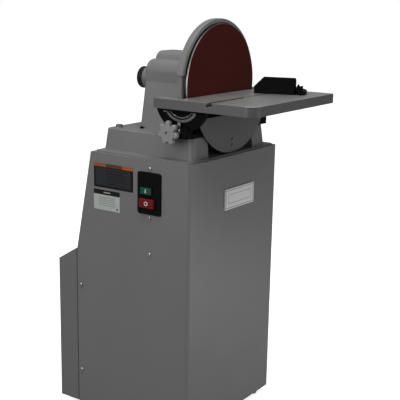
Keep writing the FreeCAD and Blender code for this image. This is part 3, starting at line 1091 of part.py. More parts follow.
node(fuse("motor_rotor", rotor, shaft), "motor_rotor")
saddle_raw = span("saddle_raw", ("-motor_base_half", "motor_base_half"),
                  ("motor_front + bell_length + 10", "motor_back - bell_length - 40"),
                  ("motor_base_z", "motor_z - 40"))
SADDLE_BOLTS = [("%d * (motor_base_half - 10)" % s, y) for s in (-1, 1)
                for y in ("motor_front + bell_length + 22", "motor_back - bell_length - 52")]
saddle_flange = span("saddle_flange", ("-motor_base_half - 22", "motor_base_half + 22"),
                     ("motor_front + bell_length + 10", "motor_back - bell_length - 40"),
                     ("motor_base_z", "motor_base_z + 6"))
SHELF_BOLTS = [("%d * (motor_base_half + 12)" % s, y) for s in (-1, 1)
               for y in ("motor_front + bell_length + 24", "motor_back - bell_length - 54")]
shelf_holes = [hole("shelf_hole_%d" % i, (x, y, "motor_base_z - 10"), "+Z", "4", "20")
               for i, (x, y) in enumerate(SHELF_BOLTS)]
node(cut("motor_base", fuse("saddle_whole", saddle_raw, saddle_flange),
         rod("saddle_bore", ("0", "motor_front", "motor_z"), "+Y", "motor_radius + 0.05", motor_span),
         *shelf_holes),
     "motor_base")
shelf_half = LIP_HALF
shelf_y = ("shelf_front", "stand_rear - cover_lip - 6")
shelf_plate = span("shelf_plate", ("-" + shelf_half, shelf_half), shelf_y,
                   ("motor_base_z - shelf_thick", "motor_base_z"))
shelf_sides = [span("shelf_side_%d" % (s + 1), limits, shelf_y,
                    ("motor_base_z - shelf_flange", "motor_base_z"))
               for s, limits in ((-1, ("-" + shelf_half, "-%s + shelf_thick" % shelf_half)),
                                 (1, ("%s - shelf_thick" % shelf_half, shelf_half)))]
node(cut("motor_shelf", fuse("shelf_whole", shelf_plate, *shelf_sides), *shelf_holes), "motor_shelf")
copies("motor_bolts", hex_bolt("motor_bolt", "4", "16"),
       [(x, y, "motor_base_z + 6") for x, y in SHELF_BOLTS],
       "+Z")

# ---------------------------------------------------------------- checks and export
doc.recompute()
for item in doc.Objects:
    if "Invalid" in item.State or "Error" in item.State:
        raise RuntimeError("%s did not build: %s" % (item.Name, item.State))
os.makedirs("parts", exist_ok=True)
for piece in NODES:
    shape = piece.Shape
    if shape.isNull() or not shape.isValid() or not shape.Solids:
        raise RuntimeError("%s has no valid solid" % piece.Label)
for piece in NODES:
    piece.Shape.exportStep("parts/%s.step" % piece.Label)
print("%d nodes" % len(NODES))
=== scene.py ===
import json
import math
import bmesh
import bpy
from mathutils import Matrix, Vector


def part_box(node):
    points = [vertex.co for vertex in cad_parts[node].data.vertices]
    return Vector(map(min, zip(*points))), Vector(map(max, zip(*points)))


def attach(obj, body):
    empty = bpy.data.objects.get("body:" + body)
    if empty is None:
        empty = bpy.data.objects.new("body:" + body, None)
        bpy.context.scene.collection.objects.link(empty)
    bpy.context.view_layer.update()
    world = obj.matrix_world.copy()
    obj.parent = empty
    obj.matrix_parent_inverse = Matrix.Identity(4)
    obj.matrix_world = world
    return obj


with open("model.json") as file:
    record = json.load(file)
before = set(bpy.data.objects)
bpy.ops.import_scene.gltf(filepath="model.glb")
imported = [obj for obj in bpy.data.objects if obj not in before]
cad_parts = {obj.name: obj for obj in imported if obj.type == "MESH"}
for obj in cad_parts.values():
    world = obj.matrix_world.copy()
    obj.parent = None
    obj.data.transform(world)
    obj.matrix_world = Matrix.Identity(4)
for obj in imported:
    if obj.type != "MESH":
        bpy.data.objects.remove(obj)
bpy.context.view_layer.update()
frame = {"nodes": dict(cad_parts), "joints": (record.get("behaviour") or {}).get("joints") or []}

# Looks of a twelve-inch disc sander. Metres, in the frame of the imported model:
# +Z up, the disc faces -Y, origin on the floor.

MM = 0.001
SIDES = {-1: "left", 1: "right"}

# ------------------------------------------------------------------ camera and light

CAMERA_AT = Vector((-1.922, -1.345, 1.150))
CAMERA_YAW, CAMERA_PITCH, CAMERA_ROLL = (math.radians(a) for a in (55.44, 13.23, 1.04))
CAMERA_LENS = 79.7
SENSOR_WIDTH = 36
SKY_LOW, SKY_HIGH = 0.10, 0.42
SKY_BOTTOM, SKY_TOP = -0.05, 0.6
FLOOR_GLOW = 0.75
FLOOR_HALF = 12.0
FLOOR_BOUNCE, FLOOR_SEEN = (0.30, 0.30, 0.30, 1), (0.9, 0.9, 0.9, 1)
WHITE = (1, 1, 1, 1)
# Each light: where it hangs, what it points at, its width and height, and its power in watts.
LIGHTS = {
    "overhead": ((-0.5, -0.5, 3.2), (0, 0, 0.6), (2.2, 2.2), 66),
    "switch_side": ((-3.0, 0.7, 1.7), (0, 0, 0.6), (1.6, 2.2), 41),
    "front_low": ((0.45, -1.1, 0.12), (0, 0, 0.05), (0.9, 0.22), 3.2),
    "front_fill": ((1.1, -2.9, 1.1), (0, 0, 0.7), (2.2, 1.0), 11),
    "corner": ((-2.0, -2.5, 1.5), (0, 0, 0.8), (0.5, 1.0), 3.0),
}


def make_camera():
    """Looks along a yaw from +Y towards +X, pitched down, with a slight roll."""
    level = Vector((math.sin(CAMERA_YAW), math.cos(CAMERA_YAW), 0))
    side = Vector((math.cos(CAMERA_YAW), -math.sin(CAMERA_YAW), 0))
    ahead = level * math.cos(CAMERA_PITCH) - Vector((0, 0, math.sin(CAMERA_PITCH)))
    over = side.cross(ahead)
    right = side * math.cos(CAMERA_ROLL) + over * math.sin(CAMERA_ROLL)
    up = over * math.cos(CAMERA_ROLL) - side * math.sin(CAMERA_ROLL)
    data = bpy.data.cameras.new("camera")
    data.lens = CAMERA_LENS
    data.sensor_width = SENSOR_WIDTH
    camera = bpy.data.objects.new("camera", data)
    turn = Matrix((right, up, -ahead)).transposed().to_4x4()
    camera.matrix_world = Matrix.Translation(CAMERA_AT) @ turn
    bpy.context.collection.objects.link(camera)
    bpy.context.scene.camera = camera


def area_light(name, at, towards, size, power):
    """A rectangular light that the camera doesn't see."""
    data = bpy.data.lights.new(name, "AREA")
    data.shape = "RECTANGLE"
    data.size, data.size_y = size
    data.energy = power
    light = bpy.data.objects.new(name, data)
    light.location = at
    light.visible_camera = False
    light.rotation_mode = "QUATERNION"
    light.rotation_quaternion = (Vector(towards) - Vector(at)).to_track_quat("-Z", "Y")
    bpy.context.collection.objects.link(light)


def make_studio():
    """Surroundings that look white and light the object softly, more from above, and the area lights."""
    world = bpy.data.worlds.new("studio")
    world.use_nodes = True
    tree = world.node_tree
    tree.nodes.clear()
    seen = tree.nodes.new("ShaderNodeBackground")
    seen.inputs["Color"].default_value = WHITE
    seen.inputs["Strength"].default_value = 1.0
    lit = tree.nodes.new("ShaderNodeBackground")
    lit.inputs["Color"].default_value = WHITE
    place = tree.nodes.new("ShaderNodeTexCoord")
    parts = tree.nodes.new("ShaderNodeSeparateXYZ")
    fade = tree.nodes.new("ShaderNodeMapRange")
    limits = {"From Min": SKY_BOTTOM, "From Max": SKY_TOP, "To Min": SKY_LOW, "To Max": SKY_HIGH}
    for key, number in limits.items():
        fade.inputs[key].default_value = number
    tree.links.new(place.outputs["Generated"], parts.inputs[0])
    tree.links.new(parts.outputs["Z"], fade.inputs["Value"])
    tree.links.new(fade.outputs[0], lit.inputs["Strength"])
    path = tree.nodes.new("ShaderNodeLightPath")
    mix = tree.nodes.new("ShaderNodeMixShader")
    out = tree.nodes.new("ShaderNodeOutputWorld")
    tree.links.new(path.outputs["Is Camera Ray"], mix.inputs[0])
    tree.links.new(lit.outputs[0], mix.inputs[1])
    tree.links.new(seen.outputs[0], mix.inputs[2])
    tree.links.new(mix.outputs[0], out.inputs["Surface"])
    bpy.context.scene.world = world
    bpy.context.scene.view_settings.view_transform = "Standard"
    for name, (at, towards, size, power) in LIGHTS.items():
        area_light(name, at, towards, size, power)


def make_floor():
    """A plain floor that looks white and throws only a little light back up."""
    mesh = bpy.data.meshes.new("floor")
    corners = [(-FLOOR_HALF, -FLOOR_HALF, 0), (FLOOR_HALF, -FLOOR_HALF, 0),
               (FLOOR_HALF, FLOOR_HALF, 0), (-FLOOR_HALF, FLOOR_HALF, 0)]
    mesh.from_pydata(corners, [], [(0, 1, 2, 3)])
    floor = bpy.data.objects.new("floor", mesh)
    bpy.context.collection.objects.link(floor)
    material = bpy.data.materials.new("floor_white")
    material.use_nodes = True
    tree = material.node_tree
    tree.nodes.clear()
    plain = tree.nodes.new("ShaderNodeBsdfDiffuse")
    plain.inputs["Color"].default_value = FLOOR_BOUNCE
    pale = tree.nodes.new("ShaderNodeBsdfDiffuse")
    pale.inputs["Color"].default_value = FLOOR_SEEN
    glow = tree.nodes.new("ShaderNodeEmission")
    glow.inputs["Strength"].default_value = FLOOR_GLOW
    both = tree.nodes.new("ShaderNodeAddShader")
    tree.links.new(pale.outputs[0], both.inputs[0])
    tree.links.new(glow.outputs[0], both.inputs[1])
    path = tree.nodes.new("ShaderNodeLightPath")
    mix = tree.nodes.new("ShaderNodeMixShader")
    out = tree.nodes.new("ShaderNodeOutputMaterial")
    tree.links.new(path.outputs["Is Camera Ray"], mix.inputs[0])
    tree.links.new(plain.outputs[0], mix.inputs[1])
    tree.links.new(both.outputs[0], mix.inputs[2])
    tree.links.new(mix.outputs[0], out.inputs["Surface"])
    mesh.materials.append(material)


# ------------------------------------------------------------------ materials


class Nodes:
    """A small helper round one material's node tree."""

    def __init__(self, name):
        self.material = bpy.data.materials.new(name)
        self.material.use_nodes = True
        self.tree = self.material.node_tree
        self.tree.nodes.clear()
        self.shader = self.add("ShaderNodeBsdfPrincipled")
        out = self.add("ShaderNodeOutputMaterial")
        self.link(self.shader.outputs[0], out.inputs[0])
        self.place = self.add("ShaderNodeTexCoord").outputs["Object"]

    def add(self, kind, **settings):
        node = self.tree.nodes.new(kind)
        for key, value in settings.items():
            setattr(node, key, value)
        return node

    def link(self, source, target):
        self.tree.links.new(source, target)

    def stretched(self, scale):
        node = self.add("ShaderNodeMapping")
        node.inputs["Scale"].default_value = scale
        self.link(self.place, node.inputs["Vector"])
        return node.outputs[0]

    def noise(self, scale, detail=3.0, roughness=0.55, stretch=None):
        node = self.add("ShaderNodeTexNoise")
        node.inputs["Scale"].default_value = scale
        node.inputs["Detail"].default_value = detail
        node.inputs["Roughness"].default_value = roughness
        self.link(self.stretched(stretch) if stretch else self.place, node.inputs["Vector"])
        return node.outputs["Fac"]

    def cells(self, scale):
        node = self.add("ShaderNodeTexVoronoi")
        node.inputs["Scale"].default_value = scale
        self.link(self.place, node.inputs["Vector"])
        return node.outputs["Distance"]

    def spread(self, value, low, high, to_low=0.0, to_high=1.0):
        node = self.add("ShaderNodeMapRange")
        for key, number in (("From Min", low), ("From Max", high), ("To Min", to_low), ("To Max", to_high)):
            node.inputs[key].default_value = number
        self.link(value, node.inputs["Value"])
        return node.outputs[0]

    def blend(self, factor, first, second):
        node = self.add("ShaderNodeMix", data_type="RGBA")
        colours = [socket for socket in node.inputs if socket.type == "RGBA"]
        for socket, colour in zip(colours, (first, second)):
            if isinstance(colour, tuple):
                socket.default_value = (*colour, 1)
            else:
                self.link(colour, socket)
        self.link(factor, node.inputs[0])
        return [socket for socket in node.outputs if socket.type == "RGBA"][0]

    def bump(self, height, depth, strength=1.0, after=None):
        node = self.add("ShaderNodeBump")
        node.inputs["Strength"].default_value = strength
        node.inputs["Distance"].default_value = depth
        self.link(height, node.inputs["Height"])
        if after:
            self.link(after, node.inputs["Normal"])
        return node.outputs[0]

    def radial(self, axis, centre):
        """Distance from a line along one axis through the centre."""
        offset = self.add("ShaderNodeVectorMath", operation="SUBTRACT")
        offset.inputs[1].default_value = centre
        self.link(self.place, offset.inputs[0])
        flat = self.add("ShaderNodeVectorMath", operation="MULTIPLY")
        flat.inputs[1].default_value = tuple(0.0 if letter == axis else 1.0 for letter in "xyz")
        self.link(offset.outputs[0], flat.inputs[0])
        length = self.add("ShaderNodeVectorMath", operation="LENGTH")
        self.link(flat.outputs[0], length.inputs[0])
        return length.outputs["Value"]

    def inside(self, **limits):
        """1 where every given coordinate lies between its two limits, else 0."""
        parts = self.add("ShaderNodeSeparateXYZ")
        self.link(self.place, parts.inputs[0])
        result = None
        for letter, (low, high) in limits.items():
            for kind, edge in (("GREATER_THAN", low), ("LESS_THAN", high)):
                test = self.add("ShaderNodeMath", operation=kind)
                test.inputs[1].default_value = edge
                self.link(parts.outputs[letter.upper()], test.inputs[0])
                result = self.times(result, test.outputs[0]) if result else test.outputs[0]
        return result

    def times(self, first, second):
        node = self.add("ShaderNodeMath", operation="MULTIPLY")
        self.link(first, node.inputs[0])
        self.link(second, node.inputs[1])
        return node.outputs[0]

    def set(self, **values):
        for key, value in values.items():
            socket = self.shader.inputs[key.replace("_", " ")]
            if isinstance(value, tuple):
                socket.default_value = (*value, 1)
            elif isinstance(value, (int, float)):
                socket.default_value = value
            else:
                self.link(value, socket)


def tinted(colour, factor):
    return tuple(min(1.0, part * factor) for part in colour)


def surface(name, colour, roughness=0.5, metallic=0.0, grain=0.06, grain_size=400.0, depth=0.0,
            bump_size=900.0, stretch=None, spotted=0.0, gloss=0.5):
    """A finish with slight colour variation, uneven gloss and a fine relief."""
    look = Nodes(name)
    drift = look.noise(9.0, 4.0)
    fine = look.noise(grain_size, 2.0, stretch=stretch)
    base = look.blend(look.spread(drift, 0.3, 0.7), tinted(colour, 1 - grain), tinted(colour, 1 + grain))
    base = look.blend(look.spread(fine, 0.3, 0.7, 0.0, 0.5), base, tinted(colour, 1 + 2 * grain))
    if spotted:
        base = look.blend(look.spread(look.noise(55.0, 6.0, 0.7), 0.60, 0.75, 0.0, spotted), base,
                          tinted(colour, 0.5))
    look.set(Base_Color=base, Metallic=metallic,
             Roughness=look.spread(fine, 0.25, 0.75, roughness * 0.85, min(1.0, roughness * 1.18)))
    if depth:
        look.set(Normal=look.bump(look.noise(bump_size, 3.0, stretch=stretch), depth))
    look.shader.inputs["Specular IOR Level"].default_value = gloss
    return look.material


def abrasive():
    """Closed coat of grit on dark red-brown resin."""
    look = Nodes("abrasive_grit")
    grit = look.cells(1500.0)
    clump = look.noise(240.0, 4.0)
    worn = look.noise(14.0, 3.0)
    base = look.blend(look.spread(grit, 0.1, 0.75), (0.070, 0.0110, 0.0085), (0.036, 0.0058, 0.0048))
    base = look.blend(look.spread(clump, 0.45, 0.75, 0.0, 0.55), base, (0.085, 0.016, 0.012))
    base = look.blend(look.spread(worn, 0.4, 0.7, 0.0, 0.35), base, (0.044, 0.008, 0.0065))
    relief = look.bump(grit, 0.0004, 0.8, look.bump(clump, 0.0005, 0.4))
    look.set(Base_Color=base, Roughness=0.82, Normal=relief)
    look.shader.inputs["Specular IOR Level"].default_value = 0.08
    return look.material


def turned(name, colour, axis, centre, roughness=0.3, bright=None):
    """Metal cut on a lathe: fine rings about an axis, with painted shade outside the bright limits where
    given.
    """
    look = Nodes(name)
    radius = look.radial(axis, centre)
    ring = look.add("ShaderNodeTexNoise", noise_dimensions="1D")
    ring.inputs["Scale"].default_value = 1400.0
    ring.inputs["Detail"].default_value = 2.0
    look.link(radius, ring.inputs["W"])
    stain = look.noise(30.0, 4.0)
    base = look.blend(look.spread(stain, 0.35, 0.7), colour, tinted(colour, 0.82))
    if bright:
        # Painted shade: outside the given limits the colour drops to a small share of itself.
        base = look.blend(look.inside(**bright), tinted(colour, RIM_PAINTED_SHADE), base)
    look.set(Base_Color=base, Metallic=1.0,
             Roughness=look.spread(ring.outputs["Fac"], 0.3, 0.7, roughness * 0.8, roughness * 1.3),
             Normal=look.bump(ring.outputs["Fac"], 0.00006, 0.6))
    return look.material


def ground_iron():
    """Cast iron ground flat: fine scratches along X, oiled patches, sides left a little darker."""
    look = Nodes("ground_iron")
    scratch = look.noise(500.0, 4.0, stretch=(0.03, 1.0, 1.0))
    sweep = look.noise(60.0, 3.0, stretch=(0.2, 1.0, 1.0))
    oil = look.noise(7.0, 4.0)
    base = look.blend(look.spread(sweep, 0.3, 0.7), (0.40, 0.405, 0.40), (0.30, 0.305, 0.30))
    base = look.blend(look.spread(oil, 0.4, 0.65, 0.0, 0.5), base, (0.24, 0.245, 0.24))
    facing = look.add("ShaderNodeSeparateXYZ")
    look.link(look.add("ShaderNodeNewGeometry").outputs["Normal"], facing.inputs[0])
    milled = look.blend(look.spread(scratch, 0.3, 0.7), (0.100, 0.103, 0.100), (0.072, 0.075, 0.072))
    base = look.blend(look.spread(facing.outputs["Z"], 0.6, 0.9), milled, base)
    look.set(Base_Color=base, Metallic=look.spread(facing.outputs["Z"], 0.6, 0.9, 0.25, 0.85),
             Roughness=look.spread(scratch, 0.3, 0.7, 0.36, 0.5),
             Normal=look.bump(scratch, 0.00005, 0.5))
    return look.material


def printed_film(name, ground, blocks, roughness=0.42):
    """A printed label: flat blocks of ink over a ground colour, with slight wear."""
    look = Nodes(name)
    drift = look.spread(look.noise(60.0, 3.0), 0.3, 0.7)
    colour = look.blend(drift, tinted(ground, 0.92), tinted(ground, 1.08))
    for ink, limits in blocks:
        colour = look.blend(look.inside(**limits), colour, ink)
    scuff = look.noise(220.0, 4.0, 0.7)
    colour = look.blend(look.spread(scuff, 0.62, 0.8, 0.0, 0.25), colour, (0.10, 0.10, 0.10))
    look.set(Base_Color=colour, Roughness=look.spread(scuff, 0.3, 0.7, roughness * 0.85, roughness * 1.2))
    look.shader.inputs["Specular IOR Level"].default_value = 0.15
    return look.material


def share(node, y, z):
    """Limits inside a plate on the -X side, as shares of its width from the rear and height from below."""
    low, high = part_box(node)
    wide, tall = high[1] - low[1], high[2] - low[2]
    return {"y": (high[1] - y[1] * wide, high[1] - y[0] * wide),
            "z": (low[2] + z[0] * tall, low[2] + z[1] * tall)}


def rows(node, ink, y, z, count, thick):
    """Evenly spaced thin rules."""
    step = (z[1] - z[0]) / count
    return [(ink, share(node, y, (z[0] + step * row, z[0] + step * row + thick))) for row in range(count)]


def upper_label():
    plate = "upper_label_plate"
    ink, panel, rule = (0.006, 0.006, 0.007), (0.022, 0.023, 0.025), (0.010, 0.010, 0.011)
    blocks = [((0.26, 0.074, 0.032), share(plate, (0, 0.31), (0.86, 1))),
              ((0.105, 0.030, 0.016), share(plate, (0.31, 0.72), (0.86, 1))),
              ((0.29, 0.078, 0.032), share(plate, (0.72, 1), (0.86, 1))),
              (panel, share(plate, (0.05, 0.93), (0.10, 0.82)))]
    blocks += rows(plate, rule, (0.30, 0.86), (0.16, 0.80), 6, 0.045)
    return printed_film("upper_label_print", ink, blocks)


def lower_label():
    plate = "lower_label_plate"
    silver, ink, rule = (0.36, 0.38, 0.36), (0.008, 0.008, 0.008), (0.21, 0.23, 0.21)
    blocks = [(ink, share(plate, (0, 1), (0.76, 1))),
              ((0.30, 0.30, 0.30), share(plate, (0.38, 0.64), (0.85, 0.90)))]
    blocks += rows(plate, rule, (0.18, 0.82), (0.22, 0.70), 5, 0.035)
    blocks += [((0.05, 0.05, 0.05), share(plate, (0.87, 0.93), (0.08, 0.17)))]
    return printed_film("lower_label_print", silver, blocks, 0.36)


def name_plate():
    """A plain bright plate with a dark border line and a grey inner frame, and no mark."""
    low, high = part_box("front_plate")

    def field(edge):
        return {"x": (low[0] + edge, high[0] - edge), "z": (low[2] + edge, high[2] - edge)}
    bright, dark, grey = (0.62, 0.63, 0.62), (0.05, 0.05, 0.055), (0.33, 0.34, 0.34)
    blocks = [(dark, field(3.5 * MM)), (bright, field(4.7 * MM)),
              (grey, field(15 * MM)), (bright, field(17 * MM))]
    return printed_film("name_plate_print", bright, blocks, 0.34)


GREY = (0.128, 0.132, 0.128)
RIM_PAINTED_SHADE = 0.10          # brightness of the painted shade on the disc plate's rim behind its bright front edge
RIM_BRIGHT = 3.5 * MM
BLACK = (0.0020, 0.0021, 0.0023)


def make_materials():
    spindle_at = tuple((low + high) / 2 for low, high in zip(*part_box("disc_plate")))
    disc_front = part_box("disc_plate")[0][1]
    return {
        "sheet_paint": surface("sheet_paint", GREY, 0.46, grain=0.035, grain_size=1500, depth=0.00005,
                               bump_size=420),
        "cast_paint": surface("cast_paint", GREY, 0.42, grain=0.05, grain_size=900, depth=0.00018,
                              bump_size=300),
        "cover_paint": surface("cover_paint", tinted(GREY, 0.9), 0.45, grain=0.035, grain_size=1500,
                               depth=0.00005, bump_size=420),
        "black_casting": surface("black_casting", BLACK, 0.5, grain=0.2, grain_size=700, depth=0.00025,
                                 bump_size=350, gloss=0.05),
        "black_moulding": surface("black_moulding", BLACK, 0.4, grain=0.15, grain_size=1200, depth=0.00006,
                                  bump_size=1800, gloss=0.08),
        "knob_moulding": surface("knob_moulding", (0.0075, 0.0075, 0.008), 0.4, grain=0.15, grain_size=1200,
                                 depth=0.00006, bump_size=1800, gloss=0.22),
        "iron": ground_iron(),
        # The disc plate's rim behind a thin front band gets painted shade.
        "turned_disc": turned("turned_disc", (0.74, 0.73, 0.71), "y", spindle_at, 0.28,
                              {"y": (disc_front - MM, disc_front + RIM_BRIGHT)}),
        "turned_steel": turned("turned_steel", (0.60, 0.60, 0.59), "y", spindle_at, 0.3),
        "steel": surface("steel", (0.56, 0.56, 0.55), 0.33, metallic=1.0, grain=0.08, grain_size=700,
                         depth=0.00003, bump_size=900, stretch=(0.1, 1, 1)),
        "zinc": surface("zinc", (0.42, 0.42, 0.415), 0.30, metallic=1.0, grain=0.06, grain_size=900,
                        depth=0.00003, bump_size=1500),
        "worn_steel": surface("worn_steel", (0.115, 0.117, 0.115), 0.45, metallic=0.4, grain=0.1,
                              grain_size=700, depth=0.00003, bump_size=900),
        # The stand's grey darkened to stand for the table's shadow on the lower disc cover: painted shade.
        "shadow_darkened_paint": surface("shadow_darkened_paint", tinted(GREY, 0.76), 0.5, grain=0.035, grain_size=1500,
                                depth=0.00005, bump_size=420, gloss=0.3),
        "cast_aluminium": surface("cast_aluminium", (0.235, 0.237, 0.235), 0.45, metallic=0.45, grain=0.1,
                                  grain_size=500, depth=0.00025, bump_size=500, spotted=0.3),
        "grit": abrasive(),
        "green_cap": surface("green_cap", (0.008, 0.060, 0.036), 0.36, grain=0.06, grain_size=1200,
                             depth=0.00003, bump_size=1800, gloss=0.2),
        "red_cap": surface("red_cap", (0.125, 0.005, 0.006), 0.36, grain=0.06, grain_size=1200,
                           depth=0.00003, bump_size=1800, gloss=0.2),
        "rubber": surface("rubber", (0.016, 0.016, 0.016), 0.75, grain=0.2, grain_size=600, depth=0.0002,
                          bump_size=700, spotted=0.3),
        "upper_label_print": upper_label(),
        "lower_label_print": lower_label(),
        "name_plate_print": name_plate(),
        "mark_white": surface("mark_white", (0.62, 0.62, 0.60), 0.45, grain=0.05, grain_size=900),
        # Black that stands for the shade in the seam between the stand and the motor cover: painted shade.
        "seam_shade_black": surface("seam_shade_black", (0.006, 0.006, 0.006), 0.8, grain=0.2, grain_size=900, depth=0.0001),
        "motor_enamel": surface("motor_enamel", (0.035, 0.037, 0.04), 0.4, grain=0.08, grain_size=900,
                                depth=0.0001, bump_size=350),
    }


FINISH = {
    "sheet_paint": ["stand_body", "stand_deck", "stand_rear_panel", "stand_floor_frame", "stand_top_plate",
                    "upper_guard", "disc_housing", "cover_screws"],
    # The lower disc cover wears grey darkened for the table's shadow: painted shade.
    "shadow_darkened_paint": ["lower_disc_cover"],
    "cover_paint": ["motor_cover"],
    "cast_paint": ["base_casting", "column", "rear_bearing_cap"],
    "black_casting": ["trunnion_left", "trunnion_right", "trunnion_bracket_left", "trunnion_bracket_right",
                      "mitre_head", "motor_base", "motor_shelf", "cross_brace", "lower_cover_bracket",
                      "tilt_scale", "bracket_bolts"],
    "black_moulding": ["mitre_knob", "switch_plate", "switch_box", "cord_gland"],
    "knob_moulding": ["rear_knob"],
    "iron": ["table"],
    "turned_disc": ["disc_plate"],
    "turned_steel": ["spindle", "spindle_pulley", "motor_pulley", "motor_rotor", "spindle_bearings"],
    "steel": ["mitre_bar", "lock_stud_left", "lock_stud_right"],
    "worn_steel": ["trunnion_wear_rings"],
    "zinc": ["base_bolts", "cap_screws", "bracket_foot_bolts", "trunnion_bolts", "foot_bolts", "motor_bolts",
             "side_screws", "tilt_pointer"],
    "cast_aluminium": ["lock_knob_left", "lock_knob_right", "motor_end_bells"],
    "grit": ["abrasive_disc"],
    "green_cap": ["start_button"],
    "red_cap": ["stop_button"],
    "rubber": ["feet", "drive_belt"],
    "upper_label_print": ["upper_label_plate"],
    "lower_label_print": ["lower_label_plate"],
    "name_plate_print": ["front_plate"],
    "motor_enamel": ["motor_housing"],
}


def finish_nodes(looks):
    for look, names in FINISH.items():
        for name in names:
            mesh = frame["nodes"][name].data
            mesh.materials.clear()
            mesh.materials.append(looks[look])


# ------------------------------------------------------------------ small pieces


def piece_from(name, mesh_builder, look, body, edge=0.0):
    """A mesh piece with its material, body and material slot, and softened edges where asked."""
    shell = bmesh.new()
    mesh_builder(shell)
    bmesh.ops.recalc_face_normals(shell, faces=shell.faces)
    mesh = bpy.data.meshes.new(name)
    shell.to_mesh(mesh)
    shell.free()
    piece = bpy.data.objects.new(name, mesh)
    bpy.context.collection.objects.link(piece)
    mesh.materials.append(LOOKS[look])
    if edge:
        bevel = piece.modifiers.new("edge", "BEVEL")
        bevel.width = edge
        bevel.segments = 2
        bevel.limit_method = "ANGLE"
    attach(piece, body)
    return piece


def add_block(shell, low, high, turn=None):
    """A box between two corners, turned by a matrix where given."""
    size = Vector(high) - Vector(low)
    middle = (Vector(high) + Vector(low)) / 2
    made = bmesh.ops.create_cube(shell, size=1.0)
    bmesh.ops.scale(shell, vec=size, verts=made["verts"])
    bmesh.ops.translate(shell, vec=middle, verts=made["verts"])
    if turn:
        bmesh.ops.transform(shell, matrix=turn, verts=made["verts"])


def add_prism(shell, outline, along, length, start):
    """An outline in two coordinates drawn out along an axis (0, 1 or 2)."""
    others = [axis for axis in range(3) if axis != along]
    ends = []
    for at in (start, start + length):
        ring = []
        for u, v in outline:
            point = [0.0, 0.0, 0.0]
            point[along] = at
            point[others[0]], point[others[1]] = u, v
            ring.append(shell.verts.new(point))
        ends.append(ring)
    count = len(outline)
    for index in range(count):
        after = (index + 1) % count
        shell.faces.new((ends[0][index], ends[0][after], ends[1][after], ends[1][index]))
    shell.faces.new(ends[0][::-1])
    shell.faces.new(ends[1])


def circle(centre, radius, count):
    return [(centre[0] + radius * math.cos(2 * math.pi * step / count),
             centre[1] + radius * math.sin(2 * math.pi * step / count)) for step in range(count)]


def add_ring(shell, centre, outer, inner, along, length, start, count=40):
    """A flat ring with square section."""
    others = [axis for axis in range(3) if axis != along]
    loops = []
    for radius, at in ((outer, start), (outer, start + length), (inner, start + length), (inner, start)):
        loop = []
        for u, v in circle(centre, radius, count):
            point = [0.0, 0.0, 0.0]
            point[along] = at
            point[others[0]], point[others[1]] = u, v
            loop.append(shell.verts.new(point))
        loops.append(loop)
    for number, loop in enumerate(loops):
        beyond = loops[(number + 1) % len(loops)]
        for index in range(count):
            after = (index + 1) % count
            shell.faces.new((loop[index], loop[after], beyond[after], beyond[index]))


def pivot(name):
    """A point on a joint's axis."""
    joint = [each for each in frame["joints"] if each["name"] == name][0]
    return Vector(joint["pos_m"])


def turn_about(centre, degrees, axis):
    turned_by = Matrix.Rotation(math.radians(degrees), 4, axis)
    return Matrix.Translation(centre) @ turned_by @ Matrix.Translation(-centre)


def button_marks():
    """A white bar on the start button and a white ring on the stop button."""
    proud, sunk, edge = 0.35 * MM, 0.5 * MM, 0.2 * MM
    bar_half, bar_tall = 1.3 * MM, 4.5 * MM
    ring_outer, ring_inner = 5.6 * MM, 3.6 * MM

    def face_and_middle(button):
        low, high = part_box(button)
        return low[0], (low[1] + high[1]) / 2, (low[2] + high[2]) / 2

    face, y, z = face_and_middle("start_button")

    def bar(shell):
        add_block(shell, (face - proud, y - bar_half, z - bar_tall),
                  (face + sunk, y + bar_half, z + bar_tall))
    piece_from("start_mark", bar, "mark_white", "start_button", edge)

    stop_face, *centre = face_and_middle("stop_button")

    def ring(shell):
        add_ring(shell, centre, ring_outer, ring_inner, 0, proud + sunk, stop_face - proud)
    piece_from("stop_mark", ring, "mark_white", "stop_button", edge)


def window_frames():
    """A raised lip on the switch plate round each button."""
    plate_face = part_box("switch_plate")[0][0]
    gap, wide, proud, sunk = 1.0 * MM, 2.6 * MM, 1.3 * MM, 0.5 * MM
    for button in ("start_button", "stop_button"):
        low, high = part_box(button)

        def build(shell):
            inner = (low[1] - gap, high[1] + gap, low[2] - gap, high[2] + gap)
            outer = (inner[0] - wide, inner[1] + wide, inner[2] - wide, inner[3] + wide)
            face, back = plate_face - proud, plate_face + sunk
            add_block(shell, (face, outer[0], outer[2]), (back, outer[1], inner[2]))
            add_block(shell, (face, outer[0], inner[3]), (back, outer[1], outer[3]))
            add_block(shell, (face, outer[0], inner[2]), (back, inner[0], inner[3]))
            add_block(shell, (face, inner[1], inner[2]), (back, outer[1], inner[3]))
        piece_from(button + "_frame", build, "black_moulding", "frame", 0.4 * MM)


def tilt_ticks():
    """White strokes along the tilt scale on the left trunnion, longer every fifth."""
    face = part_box("tilt_scale")[0][0]
    centre = pivot("table_tilt")
    ticks_each_side, degrees_apart = 12, 5
    long_from, long_to = 42.0 * MM, 46.8 * MM
    short_from, short_to = 43.8 * MM, 46.2 * MM
    half_wide, proud, sunk = 0.45 * MM, 0.25 * MM, 0.2 * MM

    def build(shell):
        for step in range(-ticks_each_side, ticks_each_side + 1):
            inner, outer = (short_from, short_to) if step % 5 else (long_from, long_to)
            add_block(shell, (face - proud, centre.y - half_wide, centre.z - outer),
                      (face + sunk, centre.y + half_wide, centre.z - inner),
                      turn_about(centre, degrees_apart * step, "X"))
    piece_from("tilt_ticks", build, "mark_white", "table")


